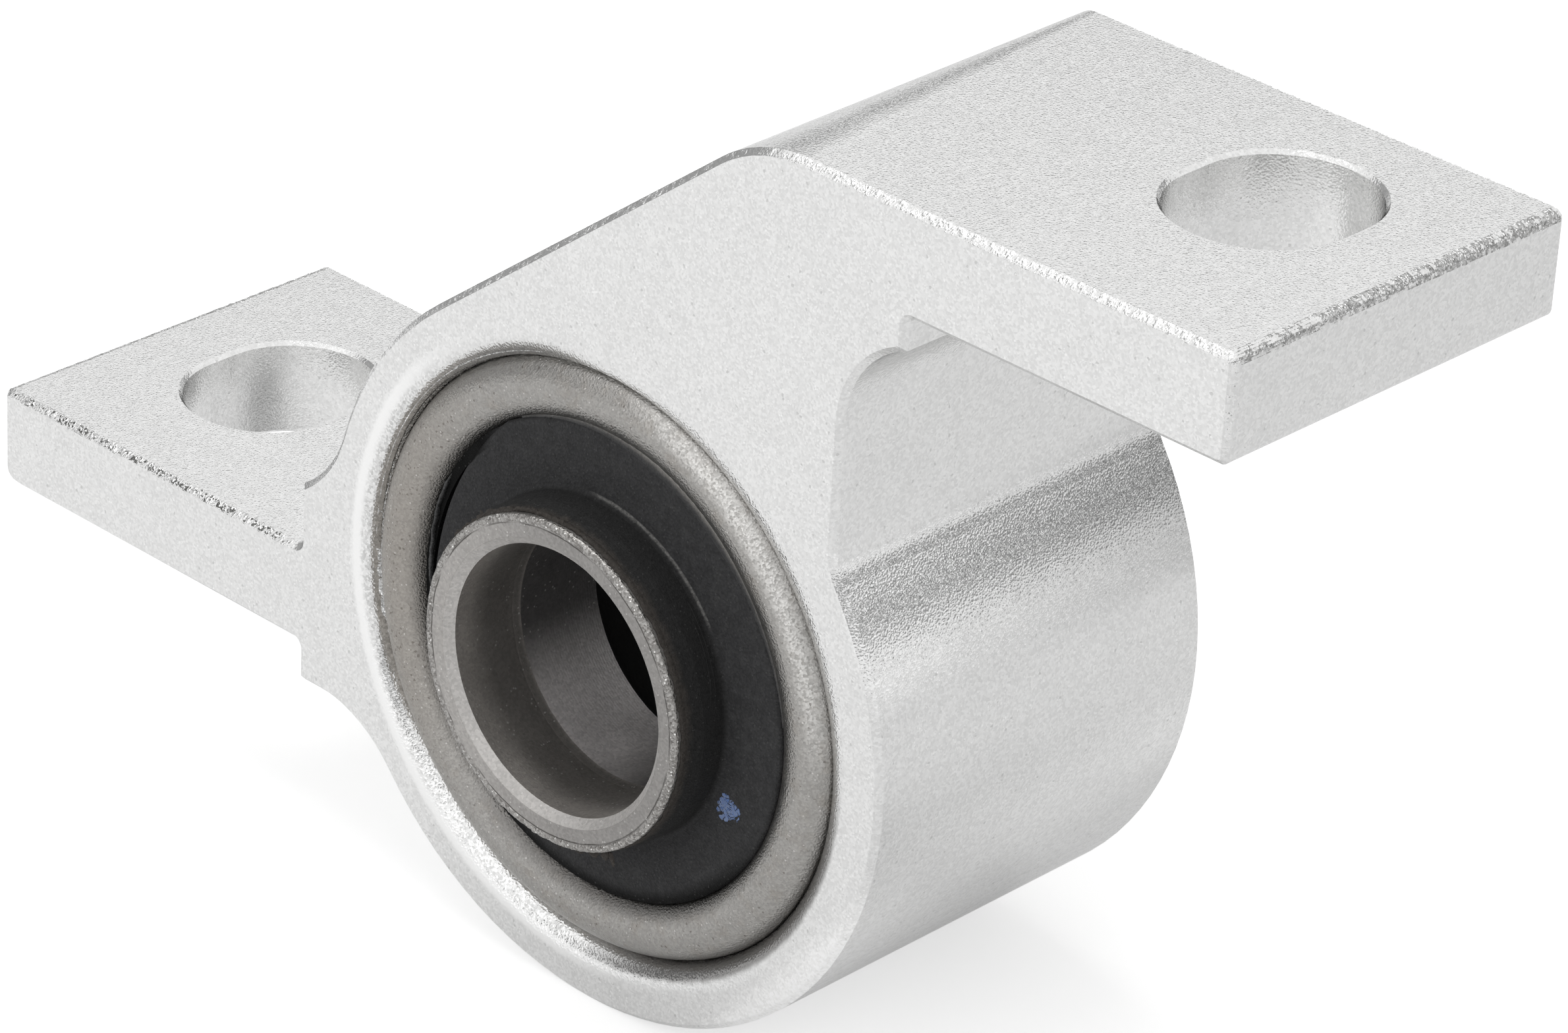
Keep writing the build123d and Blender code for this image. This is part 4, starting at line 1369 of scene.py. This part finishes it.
print("paint round", PAINT_R, "mm from the axis")

# %% Paint mark
PAINT_CELL = 0.05
PAINT_REACH = int(1.9 / PAINT_CELL)
PAINT_UNDER, PAINT_THICK = 0.02, 0.055
BLUE = (0.075, 0.15, 0.38, 1)
BLUE_WORN = (0.16, 0.21, 0.34, 1)
work = bmesh.new()
corners = {}


def paint_corner(i, j):
    """Corner of a cell, a little below the rubber; each is made once."""
    if (i, j) not in corners:
        spot = paint_point(i * PAINT_CELL, j * PAINT_CELL) + Vector((0, PAINT_UNDER * MM, 0))
        corners[i, j] = work.verts.new(spot)
    return corners[i, j]


def reading_order(face):
    """Number that grows along X, then Y, then Z, by the face's middle in micrometres."""
    x, y, z = (round(c / MM * 1000) for c in face.calc_center_median())
    return (x * 1e5 + y) * 1e5 + z


for i in range(-PAINT_REACH, PAINT_REACH):
    for j in range(-PAINT_REACH, PAINT_REACH):
        if paint_cover((i + 0.5) * PAINT_CELL, (j + 0.5) * PAINT_CELL) > 0:
            cell = ((i, j), (i + 1, j), (i + 1, j + 1), (i, j + 1))
            work.faces.new([paint_corner(*place) for place in cell])
grown = bmesh.ops.extrude_face_region(work, geom=list(work.faces), use_keep_orig=True)
for part in grown["geom"]:
    if isinstance(part, bmesh.types.BMVert):
        part.co.y -= (PAINT_THICK + 0.03 * wander(part.co, 2600, 64)) * MM
bmesh.ops.recalc_face_normals(work, faces=work.faces)
work.faces.sort(key=reading_order)      # the extrusion adds its side walls in no fixed order
paint = object_from(work, "paint_mark")

blue_paint, tree, shader, grains = grained("blue_paint", 4200.0, 0.6, 0.1)
tone = blend_colours(tree, remap(tree, grains["Height"], 0.45, 1.0), BLUE, BLUE_WORN)
rough = remap(tree, grains["Clouds"], 0.3, 0.7, 0.45, 0.65)
complete(tree, shader, tone, rough, grains["Height"], 0.04 * MM, metallic=0.0)
belongs(paint, blue_paint)

# %% [markdown] ## Hand over The view transform is Standard, so that a colour renders as it is
# written.

# %% Hand over
scene.view_settings.view_transform = "Standard"
